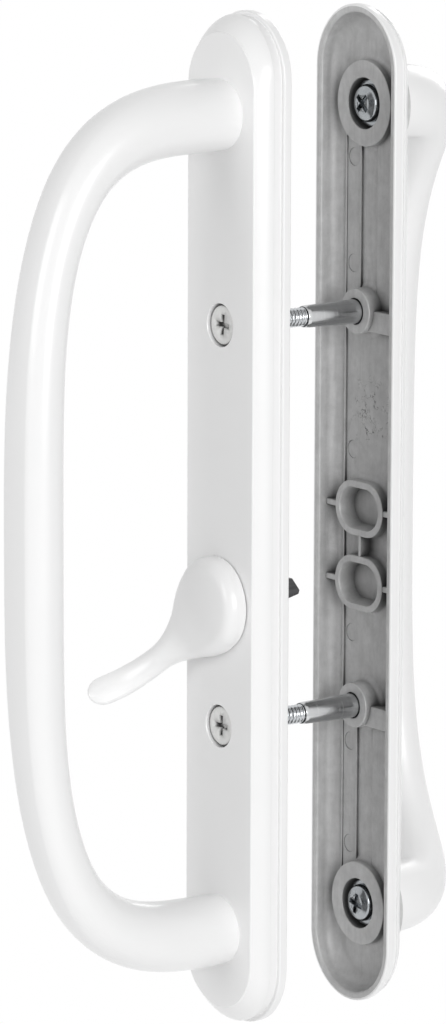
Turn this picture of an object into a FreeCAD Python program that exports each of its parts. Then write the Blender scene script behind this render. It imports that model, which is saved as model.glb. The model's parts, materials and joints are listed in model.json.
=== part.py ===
"""Sliding patio door handle set: room-side pull with a latch lever, outside pull, and
the screws and posts that clamp the two halves through the door stile.

Millimetres. X runs across the plates, Y goes out through the door, Z is up. The origin
is midway between the two mounting screws, on the door-side face of the inside plate.
"""
import FreeCAD, Part
import math
import os
import re
import Sketcher

os.makedirs("parts", exist_ok=True)
doc = FreeCAD.newDocument("patio_door_handle")
V = FreeCAD.Vector

# Driving dimensions, one alias per size.
DIMENSIONS = {
    # the stile of the door that the two halves clamp, and the screw patterns
    "stile_thickness": 31.5,
    "mounting_spacing": 100.0,
    "pull_spacing": 203.2,
    "latch_drop": 19.05,
    "latch_rest_angle": 45.0,
    # both plates share this outline
    "plate_overhang": 24.7,
    "plate_width": 32.0,
    "rim_wall": 2.1,
    "front_wall": 2.0,
    "floor_fillet": 3.4,
    "wall_draft": 0.5,
    "land_end_inset": 2.3,
    # moulded edge of the inside plate, measured out from the door
    "inside_depth": 9.6,
    "inside_land_inset": 2.5,
    "inside_flange": 2.3,
    "inside_cove_foot": 4.6,
    "inside_cove_inset": 0.6,
    "inside_cove_bulge": 0.37,
    # moulded edge of the outside plate
    "outside_depth": 7.4,
    "outside_land_inset": 4.3,
    "outside_flange": 2.0,
    "outside_cove_foot": 3.6,
    "outside_cove_inset": 0.7,
    "outside_cove_bulge": 0.55,
    "land_step": 0.4,
    "groove_depth": 0.5,
    # bosses on the hollow sides
    "pull_boss_dia": 21.4,
    "pull_boss_recess": 2.6,
    "pull_bore_dia": 12.6,
    "post_boss_dia": 11.4,
    "post_boss_recess": 0.4,
    "gusset_height": 5.4,
    "gusset_drop": 2.2,
    "gusset_recess": 1.8,
    "well_width": 19.2,
    "well_height": 13.9,
    "well_end_ease": 0.15,
    "well_wall": 1.9,
    "well_taper": 8.0,
    "well_recess": 2.0,
    "well_floor": 1.2,
    "web_thickness": 1.5,
    "web_recess": 2.3,
    "rib_thickness": 0.8,
    "strip_width": 5.9,
    "strip_height": 0.25,
    "strip_offset": 6.75,
    "ridge_width": 0.6,
    "ridge_height": 0.6,
    "ledge_offset": 3.4,
    "ledge_height": 1.0,
    "pin_mark_dia": 4.5,
    "pin_mark_depth": 0.2,
    # pulls
    "leg_half_width": 9.3,
    "leg_back": 9.0,
    "leg_crease": 7.7,
    "leg_crown": 1.15,
    "leg_side_radius": 8.7,
    "neck_half_width": 7.55,
    "neck_back": 5.8,
    "neck_crease": 5.1,
    "neck_crown": 0.4,
    "neck_side_radius": 5.45,
    "grip_half_width": 8.2,
    "grip_back": 6.1,
    "grip_crease": 5.45,
    "grip_crown": 0.2,
    "grip_side_radius": 5.8,
    "inside_reach": 55.0,
    "inside_sharpness": 3.35,
    "inside_bow": 0.0,
    "outside_reach": 24.4,
    "outside_sharpness": 4.8,
    "outside_bow": 27.5,
    # fasteners
    "screw_dia": 4.8,
    "thread_pitch": 1.06,
    "thread_depth": 0.35,
    "screw_clearance": 0.4,
    "tap_clearance": 0.12,
    "pull_screw_length": 12.7,
    "tap_runout": 1.0,
    "pan_head_dia": 9.4,
    "pan_head_height": 2.5,
    "washer_dia": 11.6,
    "washer_thickness": 0.8,
    "mounting_head_dia": 10.0,
    "mounting_head_height": 2.4,
    "mounting_head_recess": 0.8,
    "head_clearance": 0.25,
    "mounting_screw_tip": 20.2,
    "cross_span": 5.2,
    "cross_width": 1.15,
    "cross_depth": 1.5,
    "post_tip": 15.7,
    "post_tip_dia": 5.6,
    "post_root_dia": 6.15,
    "post_seat": 5.2,
    # latch
    "head_radius": 12.0,
    "head_height": 6.1,
    "head_side": 3.2,
    "head_round": 2.2,
    "lever_drop": 36.2,
    "lever_rise": 21.0,
    "head_gap": 0.25,
    "hub_radius": 6.0,
    "hub_running_clearance": 0.05,
    "hub_end": 1.2,
    "hub_boss_dia": 19.8,
    "hub_boss_recess": 4.0,
    "thrust_washer_thickness": 0.4,
    "clip_gap": 0.1,
    "clip_thickness": 0.8,
    "clip_radius": 8.6,
    "clip_groove": 0.9,
    "blade_width": 8.0,
    "blade_thickness": 2.4,
    "blade_socket": 6.0,
    "blade_tip": 15.3,
}

sheet = doc.addObject("Spreadsheet::Sheet", "Sizes")
for row, (alias, value) in enumerate(DIMENSIONS.items(), start=1):
    sheet.set(f"A{row}", alias.replace("_", " "))
    sheet.set(f"B{row}", str(value))
    sheet.setAlias(f"B{row}", alias)
doc.recompute()

ALIAS = re.compile(r"\b(" + "|".join(sorted(DIMENSIONS, key=len, reverse=True)) + r")\b")


def bound(text):
    """The expression with each alias written as a cell of the sheet."""
    return ALIAS.sub(r"Sizes.\1", str(text))


def number(text):
    """The present value of an expression."""
    return float(sheet.evalExpression(bound(text)))


# Sketches. A vertex is a pair of expressions. A side is None for a straight line or
# (radius, turn), where turn is 1 for an arc that runs anticlockwise and -1 for clockwise.

def new_sketch(body, name, plane="XY_Plane", lift="0"):
    """A sketch on one of the body's base planes, lifted along the plane's normal."""
    sketch = body.newObject("Sketcher::SketchObject", name)
    origin_plane = [f for f in body.Origin.OriginFeatures if f.Role == plane][0]
    sketch.AttachmentSupport = (origin_plane, [""])
    sketch.MapMode = "FlatFace"
    sketch.setExpression("AttachmentOffset.Base.z", bound(lift))
    return sketch


def free_sketch(body, name, x, y, z, roll, pitch="0"):
    """A sketch set in space at (x, y, z), turned about X and then about Y."""
    sketch = body.newObject("Sketcher::SketchObject", name)
    sketch.setExpression("Placement", bound(
        f"placement(vector({x}; {y}; {z}); rotation(0; {pitch}; {roll}))"))
    doc.recompute()
    return sketch


def pin_point(sketch, geometry, position, x, y):
    """Hold one end of a curve at (x, y), each bound to its expression."""
    for kind, text, axis in (("DistanceX", x, -2), ("DistanceY", y, -1)):
        if abs(number(text)) < 1e-9:
            sketch.addConstraint(Sketcher.Constraint("PointOnObject", geometry, position, axis))
            continue
        index = sketch.addConstraint(
            Sketcher.Constraint(kind, -1, 1, geometry, position, number(text)))
        sketch.setExpression(f"Constraints[{index}]", bound(text))


def draw_loop(sketch, vertices, sides=None):
    """Close a loop through the vertices with lines and arcs, fully constrained."""
    sides = sides or [None] * len(vertices)
    points = [V(number(x), number(y), 0) for x, y in vertices]
    ends = []
    for i, side in enumerate(sides):
        start, finish = points[i], points[(i + 1) % len(points)]
        if side is None:
            geometry = sketch.addGeometry(Part.LineSegment(start, finish))
            ends.append((geometry, 1, 2))
            continue
        radius, turn = side
        chord = finish - start
        reach = math.sqrt(max(number(radius) ** 2 - chord.Length ** 2 / 4, 0))
        across = V(-chord.y, chord.x, 0).normalize() * turn
        centre = (start + finish) * 0.5 + across * reach
        first, last = (start, finish) if turn > 0 else (finish, start)
        angles = [math.atan2(p.y - centre.y, p.x - centre.x) for p in (first, last)]
        if angles[1] < angles[0]:
            angles[1] += 2 * math.pi
        circle = Part.Circle(centre, V(0, 0, 1), number(radius))
        geometry = sketch.addGeometry(Part.ArcOfCircle(circle, *angles))
        ends.append((geometry, 1, 2) if turn > 0 else (geometry, 2, 1))
        index = sketch.addConstraint(Sketcher.Constraint("Radius", geometry, number(radius)))
        sketch.setExpression(f"Constraints[{index}]", bound(radius))
    for i, (geometry, _, finish) in enumerate(ends):
        after, start, _ = ends[(i + 1) % len(ends)]
        sketch.addConstraint(Sketcher.Constraint("Coincident", geometry, finish, after, start))
    for (geometry, start, _), (x, y) in zip(ends, vertices):
        pin_point(sketch, geometry, start, x, y)


def draw_circle(sketch, x, y, diameter):
    """A circle with its centre and diameter bound."""
    circle = Part.Circle(V(number(x), number(y), 0), V(0, 0, 1), number(diameter) / 2)
    geometry = sketch.addGeometry(circle)
    index = sketch.addConstraint(Sketcher.Constraint("Diameter", geometry, number(diameter)))
    sketch.setExpression(f"Constraints[{index}]", bound(diameter))
    pin_point(sketch, geometry, 3, x, y)


def draw_box(sketch, x0, y0, x1, y1):
    """A rectangle between two corners."""
    draw_loop(sketch, [(x0, y0), (x1, y0), (x1, y1), (x0, y1)])


# Features. Every length is an expression.

def new_body(name):
    body = doc.addObject("PartDesign::Body", name)
    body.Label = name
    return body


def sweep_straight(body, kind, sketch, name, length, backwards=False, midplane=False):
    """A Pad or a Pocket."""
    feature = body.newObject(f"PartDesign::{kind}", name)
    feature.Profile = sketch
    feature.setExpression("Length", bound(length))
    feature.Reversed = backwards
    if midplane:
        if hasattr(feature, "SideType"):
            feature.SideType = "Symmetric"
        else:
            feature.Midplane = True
    doc.recompute()
    return feature


def turn_profile(body, sketch, name, axis="V_Axis", angle=360.0, backwards=False, cut=False):
    """A Revolution or a Groove about an axis of its sketch."""
    feature = body.newObject("PartDesign::Groove" if cut else "PartDesign::Revolution", name)
    feature.Profile = sketch
    feature.ReferenceAxis = (sketch, [axis])
    feature.Angle = angle
    feature.Reversed = backwards
    doc.recompute()
    return feature


def mirror_up_down(body, features, name):
    """Repeat features below the level of the origin."""
    mirrored = body.newObject("PartDesign::Mirrored", name)
    mirrored.Originals = features
    plane = [f for f in body.Origin.OriginFeatures if f.Role == "XY_Plane"][0]
    mirrored.MirrorPlane = (plane, [""])
    body.Tip = mirrored
    doc.recompute()
    return mirrored


def loft_through(body, sketches, name):
    loft = body.newObject("PartDesign::AdditiveLoft", name)
    loft.Profile = sketches[0]
    loft.Sections = sketches[1:]
    loft.Ruled = False
    doc.recompute()
    return loft


# Plates. Both are hollow die castings with a moulded edge: a flat land, a small step,
# a cove, a shadow groove and a flange. One half section is extruded along the straight
# part and turned about each end, so the moulding runs round the whole outline.

class PlateSide:
    """Where one plate stands: its rim plane and the way its front faces along Y."""

    def __init__(self, prefix, rim, sign):
        self.prefix, self.rim, self.sign = prefix, rim, sign

    def at(self, distance):
        """Y at a distance from the rim plane towards the front."""
        return f"({self.rim}) {self.sign} ({distance})"

    def lift(self, distance):
        """The same place as a lift of an XZ sketch, whose normal is -Y."""
        return f"-({self.at(distance)})"

    @property
    def depth(self):
        return f"{self.prefix}_depth"

    @property
    def floor(self):
        return f"({self.prefix}_depth - front_wall)"


INSIDE = PlateSide("inside", "0", "-")
OUTSIDE = PlateSide("outside", "stile_thickness", "+")


def hollow_section(side):
    """Half section of the hollow: a drafted wall with a fillet at the floor."""
    wall = "(plate_width / 2 - rim_wall)"
    vertices = [
        ("0", side.at("0")),
        (wall, side.at("0")),
        (f"{wall} - wall_draft", side.at(f"{side.floor} - floor_fillet")),
        (f"{wall} - wall_draft - floor_fillet", side.at(side.floor)),
        ("0", side.at(side.floor)),
    ]
    turn = 1 if side.sign == "-" else -1
    return vertices, [None, None, ("floor_fillet", turn), None, None]


def stadium(half_width, half_length):
    """Two straight sides joined by four quarter turns."""
    turn_at = f"({half_length} - {half_width})"
    vertices = [(half_width, f"-{turn_at}"), (half_width, turn_at), ("0", half_length),
                (f"-{half_width}", turn_at), (f"-{half_width}", f"-{turn_at}"),
                ("0", f"-{half_length}")]
    quarter = (half_width, 1)
    return vertices, [None, quarter, quarter, None, quarter, quarter]


def mirrored_section(vertices, sides):
    """The half section and its mirror image as one closed loop."""
    left = [(f"-({x})", y) for x, y in reversed(vertices[1:-1])]
    return vertices + left, sides[:-1] + sides[-2::-1]


def plate_outline(body, side, name, distance, inset, end_inset="0"):
    """The plate's outline at a distance from the rim, drawn in by an inset."""
    sketch = new_sketch(body, name, "XZ_Plane", side.lift(distance))
    draw_loop(sketch, *stadium(
        f"(plate_width / 2 - {inset})",
        f"(pull_spacing / 2 + plate_overhang - {inset} - {end_inset})"))
    return sketch


def plate_shell(body, side):
    """Flange, shadow groove, cove and land, then the hollow behind them."""
    p = side.prefix
    away = side.sign == "+"
    foot, top = f"{p}_cove_foot", f"({side.depth} - land_step)"
    foot_inset, top_inset = f"{p}_cove_inset", f"({p}_land_inset - land_step / 4)"
    flange = plate_outline(body, side, "Flange_outline", "0", "0")
    sweep_straight(body, "Pad", flange, "Flange", f"{p}_flange", backwards=away)
    groove = plate_outline(body, side, "Groove_outline", f"{p}_flange",
                           f"({foot_inset} + groove_depth)")
    sweep_straight(body, "Pad", groove, "Groove", f"{foot} - {p}_flange", backwards=away)
    # the cove is wider at the plate's ends than along its sides
    loft_through(body, [
        plate_outline(body, side, "CoveFoot", foot, foot_inset),
        plate_outline(body, side, "CoveMiddle", f"({foot} + {top}) / 2",
                      f"(({foot_inset} + {top_inset}) / 2 - {p}_cove_bulge)",
                      "land_end_inset / 3"),
        plate_outline(body, side, "CoveTop", top, top_inset, "land_end_inset")], "Cove")
    land = plate_outline(body, side, "Land_outline", top, f"{p}_land_inset", "land_end_inset")
    sweep_straight(body, "Pad", land, "Land", "land_step", backwards=away)
    vertices, sides = hollow_section(side)
    straight = "(pull_spacing + 2 * plate_overhang - plate_width)"
    middle = new_sketch(body, "Hollow_section")
    draw_loop(middle, *mirrored_section(vertices, sides))
    sweep_straight(body, "Pocket", middle, "Hollow", straight, midplane=True)
    end = new_sketch(body, "Hollow_end_section", lift=f"{straight} / 2")
    draw_loop(end, vertices, sides)
    upper = turn_profile(body, end, "HollowEnd", angle=180.0, backwards=True, cut=True)
    mirror_up_down(body, [upper], "HollowEnds")


def well_outline(width, height, z):
    """A level slot with round ends, centred at height z."""
    radius = f"({height} / 2 + well_end_ease)"
    reach = f"({width} / 2 - {radius} + sqrt(({radius})^2 - ({height} / 2)^2))"
    vertices = [(reach, f"{z} - {height} / 2"), (reach, f"{z} + {height} / 2"),
                (f"-{reach}", f"{z} + {height} / 2"), (f"-{reach}", f"{z} - {height} / 2")]
    return vertices, [(radius, 1), None, (radius, 1), None]


def boss(body, side, name, z, diameter, recess):
    """A round boss on the floor, its face a recess below the rim."""
    sketch = new_sketch(body, name + "_outline", "XZ_Plane", side.lift(recess))
    draw_circle(sketch, "0", z, diameter)
    return sweep_straight(body, "Pad", sketch, name,
                          f"{side.floor} - ({recess}) + front_wall / 2",
                          backwards=side.sign == "+")


def bore(body, side, name, z, diameter, start, end):
    """A round hole between two distances from the rim plane."""
    sketch = new_sketch(body, name + "_outline", "XZ_Plane", side.lift(start))
    draw_circle(sketch, "0", z, diameter)
    return sweep_straight(body, "Pocket", sketch, name, f"({end}) - ({start})",
                          backwards=side.sign == "-")


def side_webs(body, side, name, z, thickness, recess, both=True):
    """Webs that tie a boss to the plate's walls, cut back along the floor's fillet."""
    wall = "(plate_width / 2 - rim_wall - wall_draft / 4)"
    foot = f"{side.floor} + front_wall / 8"
    vertices = [("0", side.at(recess)), (wall, side.at(recess)),
                (wall, side.at(f"{side.floor} - floor_fillet * 0.45")),
                (f"{wall} - floor_fillet * 0.45", side.at(foot)), ("0", side.at(foot))]
    sides = [None] * len(vertices)
    sketch = new_sketch(body, name + "_outline", lift=z)
    if both:
        vertices, sides = mirrored_section(vertices, sides)
    draw_loop(sketch, vertices, sides)
    return sweep_straight(body, "Pad", sketch, name, thickness, midplane=True)


def pull_bosses(body, side):
    """A boss, a well for the screw's head and a clearance hole at each foot of the pull."""
    z = "pull_spacing / 2"
    hole = f"{side.depth} + 1"
    up = boss(body, side, "PullBoss", z, "pull_boss_dia", "pull_boss_recess")
    mirror_up_down(body, [up], "PullBosses")
    up = bore(body, side, "PullWell", z, "pull_bore_dia", "pull_boss_recess", side.floor)
    mirror_up_down(body, [up], "PullWells")
    up = bore(body, side, "PullHole", z, "screw_dia + screw_clearance", side.floor, hole)
    mirror_up_down(body, [up], "PullHoles")


def inside_plate():
    side = INSIDE
    body = new_body("inside_plate")
    plate_shell(body, side)
    z = "mounting_spacing / 2"
    up = boss(body, side, "ScrewBoss", z, "post_boss_dia + 2 * rim_wall", "post_boss_recess")
    mirror_up_down(body, [up], "ScrewBosses")
    web = side_webs(body, side, "ScrewWeb", z, "web_thickness", "web_recess")
    mirror_up_down(body, [web], "ScrewWebs")
    boss(body, side, "HubBoss", "-latch_drop", "hub_boss_dia", "hub_boss_recess")
    side_webs(body, side, "HubWebs", "-latch_drop", "web_thickness", "hub_boss_recess")
    pull_bosses(body, side)
    through = f"{side.depth} + 1"
    up = bore(body, side, "ScrewHole", z, "screw_dia + screw_clearance",
              "post_boss_recess", through)
    mirror_up_down(body, [up], "ScrewHoles")
    up = bore(body, side, "HeadWell", z, "mounting_head_dia + 2 * head_clearance",
              f"{side.depth} - mounting_head_recess - mounting_head_height", through)
    mirror_up_down(body, [up], "HeadWells")
    bore(body, side, "HubBore", "-latch_drop", "2 * (hub_radius + hub_running_clearance)",
         "hub_boss_recess", through)
    return body


def floor_pad(body, side, name, height, boxes):
    """Low blocks on the floor, each between two corners."""
    sketch = new_sketch(body, name + "_outline", "XZ_Plane", side.lift(f"{side.floor} - {height}"))
    for corners in boxes:
        draw_box(sketch, *corners)
    return sweep_straight(body, "Pad", sketch, name, f"{height} + front_wall / 2",
                          backwards=side.sign == "+")


def outside_plate():
    side = OUTSIDE
    body = new_body("outside_plate")
    plate_shell(body, side)
    # between the pull bosses the floor carries a strip with a thin ridge along its edge
    left, right = "(-strip_offset - strip_width / 2)", "(-strip_offset + strip_width / 2)"
    end, turn = "(pull_spacing / 2 - pull_boss_dia / 4)", "(mounting_spacing / 2)"
    floor_pad(body, side, "Strip", "strip_height", [(left, f"-{end}", right, end)])
    floor_pad(body, side, "Ridges", "ridge_height", [
        (f"{left} - ridge_width / 2", f"-{end}", f"{left} + ridge_width / 2", end),
        (f"{right} - ridge_width / 2", turn, f"{right} + ridge_width / 2", end),
        (f"{right} - ridge_width / 2", f"-{end}", f"{right} + ridge_width / 2", f"-{turn}")])
    wall = "(plate_width / 2 - rim_wall - wall_draft)"
    floor_pad(body, side, "Ledges", "ledge_height", [
        ("ledge_offset", turn, wall, end), ("ledge_offset", f"-{end}", wall, f"-{turn}")])
    # bosses that hold the posts, each tied to one wall by a gusset under its axis
    z = "mounting_spacing / 2"
    for name, level in (("UpperGusset", z), ("LowerGusset", f"-{z}")):
        side_webs(body, side, name, f"{level} - gusset_drop", "gusset_height",
                  "gusset_recess", both=False)
    up = boss(body, side, "PostBoss", z, "post_boss_dia", "post_boss_recess")
    mirror_up_down(body, [up], "PostBosses")
    # two wells, one on the centre and one on the latch axis, tied together by a rib
    floor_pad(body, side, "WellRib", f"({side.floor} - web_recess)", [
        ("-rib_thickness / 2", "-latch_drop", "rib_thickness / 2", "0")])
    for name, level in (("CentreWell", "0"), ("LatchWell", "-latch_drop")):
        side_webs(body, side, name + "Webs", level, "web_thickness", "web_recess")
        sketch = new_sketch(body, name + "_outline", "XZ_Plane", side.lift("well_recess"))
        draw_loop(sketch, *well_outline("well_width", "well_height", level))
        sweep_straight(body, "Pad", sketch, name,
                       f"{side.floor} - well_recess + front_wall / 2", backwards=True)
    for name, level in (("CentrePocket", "0"), ("LatchPocket", "-latch_drop")):
        sketch = new_sketch(body, name + "_outline", "XZ_Plane", side.lift("well_recess"))
        draw_loop(sketch, *well_outline(
            "(well_width - 2 * well_wall)", "(well_height - 2 * well_wall)", level))
        pocket = sweep_straight(body, "Pocket", sketch, name,
                                f"{side.depth} - well_floor - well_recess")
        pocket.setExpression("TaperAngle", bound("-well_taper"))
        doc.recompute()
    pull_bosses(body, side)
    up = bore(body, side, "PostBore", z, "post_root_dia + 2 * tap_clearance",
              "post_boss_recess", "post_seat")
    mirror_up_down(body, [up], "PostBores")
    # marks of the ejector pins on the strip
    sketch = new_sketch(body, "PinMarks_outline", "XZ_Plane",
                        side.lift(f"{side.floor} - strip_height"))
    for level in ("pull_spacing / 2 - 14", "mounting_spacing / 2 + 11", "well_height",
                  "-latch_drop - well_height", "-mounting_spacing / 2 - 11",
                  "-pull_spacing / 2 + 14"):
        draw_circle(sketch, "-strip_offset", level, "pin_mark_dia")
    sweep_straight(body, "Pocket", sketch, "PinMarks", "pin_mark_depth")
    return body


# Pulls. The centre line is a superellipse: it leaves the plate square, turns a corner
# and runs nearly straight down the grip. A bow leans the grip to one side of the plate.
# The section starts as a round leg, draws in to a neck past the corner and swells into a
# grip with a crease on each side of its outer face.

# angle of each station on the superellipse, then its shares of leg, neck and grip
STATIONS = {0: (1, 0, 0), 4: (0.99, 0.01, 0), 13: (0.9, 0.1, 0), 28: (0.6, 0.4, 0),
            45: (0.22, 0.78, 0), 60: (0, 1, 0), 74: (0, 0.7, 0.3), 84: (0, 0.15, 0.85),
            90: (0, 0, 1)}


def blend(size, t):
    """A size of the section at a station."""
    shares = zip(STATIONS[t], ("leg", "neck", "grip"))
    return "(" + " + ".join(f"{part}_{size} * {share}" for share, part in shares) + ")"


def grip_section(t):
    """Four arcs: the crowned outer face, two sides and the round back."""
    back, side = blend("back", t), blend("side_radius", t)
    crease, crown = blend("crease", t), blend("crown", t)
    centre = f"({blend('half_width', t)} - {side})"
    back_radius = f"(({centre}^2 + {back}^2 - {side}^2) / (2 * ({back} - {side})))"
    corner = f"({centre} + sqrt({side}^2 - {crease}^2))"
    crown_radius = f"(({corner}^2 + {crown}^2) / (2 * {crown}))"
    low_x = f"({back_radius} * {centre} / ({back_radius} - {side}))"
    low_y = (f"({back_radius} - {back} - {back_radius} * ({back_radius} - {back})"
             f" / ({back_radius} - {side}))")
    vertices = [(f"-{corner}", crease), (f"-{low_x}", low_y), (low_x, low_y), (corner, crease)]
    return vertices, [(side, 1), (back_radius, 1), (side, 1), (crown_radius, 1)]


def pull(name, side):
    """Loft through sections that stand square to the centre line."""
    body = new_body(name)
    reach, power, bow = (f"{side.prefix}_{size}" for size in ("reach", "sharpness", "bow"))
    down = [(t, 1) for t in STATIONS] + [(t, -1) for t in reversed(STATIONS) if t < 90]
    sections = []
    for i, (t, half) in enumerate(down):
        rise = f"(cos({t} deg)^(2 / {power}))" if t < 90 else "0"
        out = f"(sin({t} deg)^(2 / {power}))" if t else "0"
        x = f"-{bow} * (1 - {rise}^4)"
        y = side.at(f"{side.depth} + {reach} * {out}")
        z = f"{half} * pull_spacing / 2 * {rise}"
        drift = f"(8 * {bow} * {rise}^3 / pull_spacing)"
        steep = f"tan({t} deg)^(2 - 2 / {power})" if t else "0"
        lean = f"atan(pull_spacing / 2 / {reach} * {steep} * sqrt(1 + {drift}^2))"
        lean = lean if t < 90 else "90 deg"
        lean = lean if half > 0 else f"(180 deg - {lean})"
        roll = f"90 deg + {lean}" if side.sign == "-" else f"90 deg - {lean}"
        pitch = f"{half} * atan({drift})"
        sketch = free_sketch(body, f"Section{i:02d}", x, y, z, roll, pitch)
        draw_loop(sketch, *grip_section(t))
        sections.append(sketch)
    loft_through(body, sections, "Grip")
    # tapped holes for the screws that come through the plate
    sketch = new_sketch(body, "Tapped_outline", "XZ_Plane", side.lift(side.depth))
    for z in ("pull_spacing / 2", "-pull_spacing / 2"):
        draw_circle(sketch, "0", z, "screw_dia + 2 * tap_clearance")
    sweep_straight(body, "Pocket", sketch, "Tapped", "pull_screw_length - front_wall + tap_runout",
                   backwards=side.sign == "-")
    return body


# Fasteners. Each is turned about its own axis at the origin, pointing up the sketch's
# vertical axis, and then stood in its place.

def cross_recess(body, level):
    """The Phillips recess, sunk from a flat face at a height along Z."""
    half, arm = "cross_span / 2", "cross_width / 2"
    sketch = new_sketch(body, "Cross_outline", "XY_Plane", level)
    draw_loop(sketch, [
        (half, f"-{arm}"), (half, arm), (arm, arm), (arm, half), (f"-{arm}", half),
        (f"-{arm}", arm), (f"-{half}", arm), (f"-{half}", f"-{arm}"), (f"-{arm}", f"-{arm}"),
        (f"-{arm}", f"-{half}"), (arm, f"-{half}"), (arm, f"-{arm}")])
    pocket = sweep_straight(body, "Pocket", sketch, "Cross", "cross_depth")
    pocket.TaperAngle = -12
    doc.recompute()


def stand(body, x, y, z, head_towards):
    """Stand a turned piece so that its +Z end faces along -Y or +Y."""
    turn = 90 if head_towards == "-Y" else -90
    body.Placement = FreeCAD.Placement(V(0, 0, 0), FreeCAD.Rotation(V(1, 0, 0), turn))
    for axis, text in zip("xyz", (x, y, z)):
        body.setExpression(f"Placement.Base.{axis}", bound(text))


def pull_screw(name, side, z):
    """Pan head with its underside at the origin, head up, shank down."""
    body = new_body(name)
    r, shank, length = "pan_head_dia / 2", "screw_dia / 2", "pull_screw_length"
    sketch = new_sketch(body, "Profile", "XZ_Plane")
    draw_loop(sketch, [("0", "pan_head_height"), ("0", f"-{length}"),
                       (f"{shank} - 0.8", f"-{length}"), (shank, f"-{length} + 0.8"),
                       (shank, "0"), (r, "0"), (r, "pan_head_height * 0.35"),
                       ("pan_head_dia * 0.28", "pan_head_height")],
              [None, None, None, None, None, None, ("pan_head_dia * 0.36", 1), None])
    turn_profile(body, sketch, "Turned")
    cross_recess(body, "pan_head_height")
    head = side.at(f"{side.floor} - washer_thickness")
    stand(body, "0", head, z, "+Y" if side.sign == "-" else "-Y")
    return body


def washer(name, side, z):
    body = new_body(name)
    sketch = new_sketch(body, "Ring", "XY_Plane")
    draw_circle(sketch, "0", "0", "washer_dia")
    draw_circle(sketch, "0", "0", "screw_dia + screw_clearance")
    sweep_straight(body, "Pad", sketch, "Disc", "washer_thickness")
    stand(body, "0", side.at(side.floor), z, "+Y" if side.sign == "-" else "-Y")
    return body


def mounting_screw(name, z):
    """Flat cheese head; the thread shows between the two halves as rings."""
    body = new_body(name)
    r, shank = "mounting_head_dia / 2", "screw_dia / 2"
    length = "(mounting_screw_tip + inside_depth - mounting_head_recess - mounting_head_height)"
    sketch = new_sketch(body, "Profile", "XZ_Plane")
    draw_loop(sketch, [("0", "mounting_head_height"), ("0", f"-{length}"),
                       (f"{shank} - 0.7", f"-{length}"), (shank, f"-{length} + 0.7"),
                       (shank, "0"), (r, "0"), (r, "mounting_head_height - 0.4"),
                       (f"{r} - 0.4", "mounting_head_height")],
              [None, None, None, None, None, None, ("0.4", 1), None])
    turn_profile(body, sketch, "Turned")
    rings = new_sketch(body, "ThreadRing", "XZ_Plane")
    start = f"(-{length} + mounting_screw_tip - post_tip)"
    draw_loop(rings, [(f"{shank} + 0.2", f"{start} + 0.16"),
                      (f"{shank} - thread_depth", f"{start} + thread_pitch / 2"),
                      (f"{shank} + 0.2", f"{start} + thread_pitch - 0.16")])
    ring = turn_profile(body, rings, "Ring", cut=True)
    pattern = body.newObject("PartDesign::LinearPattern", "Thread")
    pattern.Originals = [ring]
    pattern.Direction = (rings, ["V_Axis"])
    pattern.setExpression("Length", bound("thread_pitch * 7"))
    pattern.Occurrences = 8
    body.Tip = pattern
    doc.recompute()
    cross_recess(body, "mounting_head_height")
    stand(body, "0", "-(inside_depth - mounting_head_recess - mounting_head_height)", z, "-Y")
    return body


def threaded_post(name, z):
    """Polished post with a taper, pressed into its boss and tapped for the screw."""
    body = new_body(name)
    tip, root = "post_tip_dia / 2", "post_root_dia / 2"
    reach = "(stile_thickness + post_boss_recess - post_tip)"
    end = "(stile_thickness + post_seat - post_tip)"
    hole = "(screw_dia / 2 + tap_clearance)"
    hole_depth = "(mounting_screw_tip - post_tip + 2 * tap_runout)"
    sketch = new_sketch(body, "Profile", "XZ_Plane")
    draw_loop(sketch, [(hole, "0"), (f"{tip} - 0.15", "0"), (tip, "-0.9"), (root, f"-{reach}"),
                       (root, f"-{end}"), ("0", f"-{end}"), ("0", f"-{hole_depth} - 1"),
                       (hole, f"-{hole_depth}")])
    turn_profile(body, sketch, "Turned")
    stand(body, "0", "post_tip", z, "-Y")
    return body


# Latch. The lever is drawn with its arm pointing down and turned to its rest angle.

def lever_section(half, side, corner, top):
    """Right half of a section: flat back, short side, rounded corner, crowned front."""
    width, rise = f"({half} - {corner})", f"({top} - {side})"
    crown = f"(({width}^2 + {rise}^2 - {corner}^2) / (2 * ({rise} - {corner})))"
    join_x = f"({crown} * {width} / ({crown} - {corner}))"
    join_y = f"({top} - {crown} + {crown} * ({crown} - {rise}) / ({crown} - {corner}))"
    return crown, join_x, join_y


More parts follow.
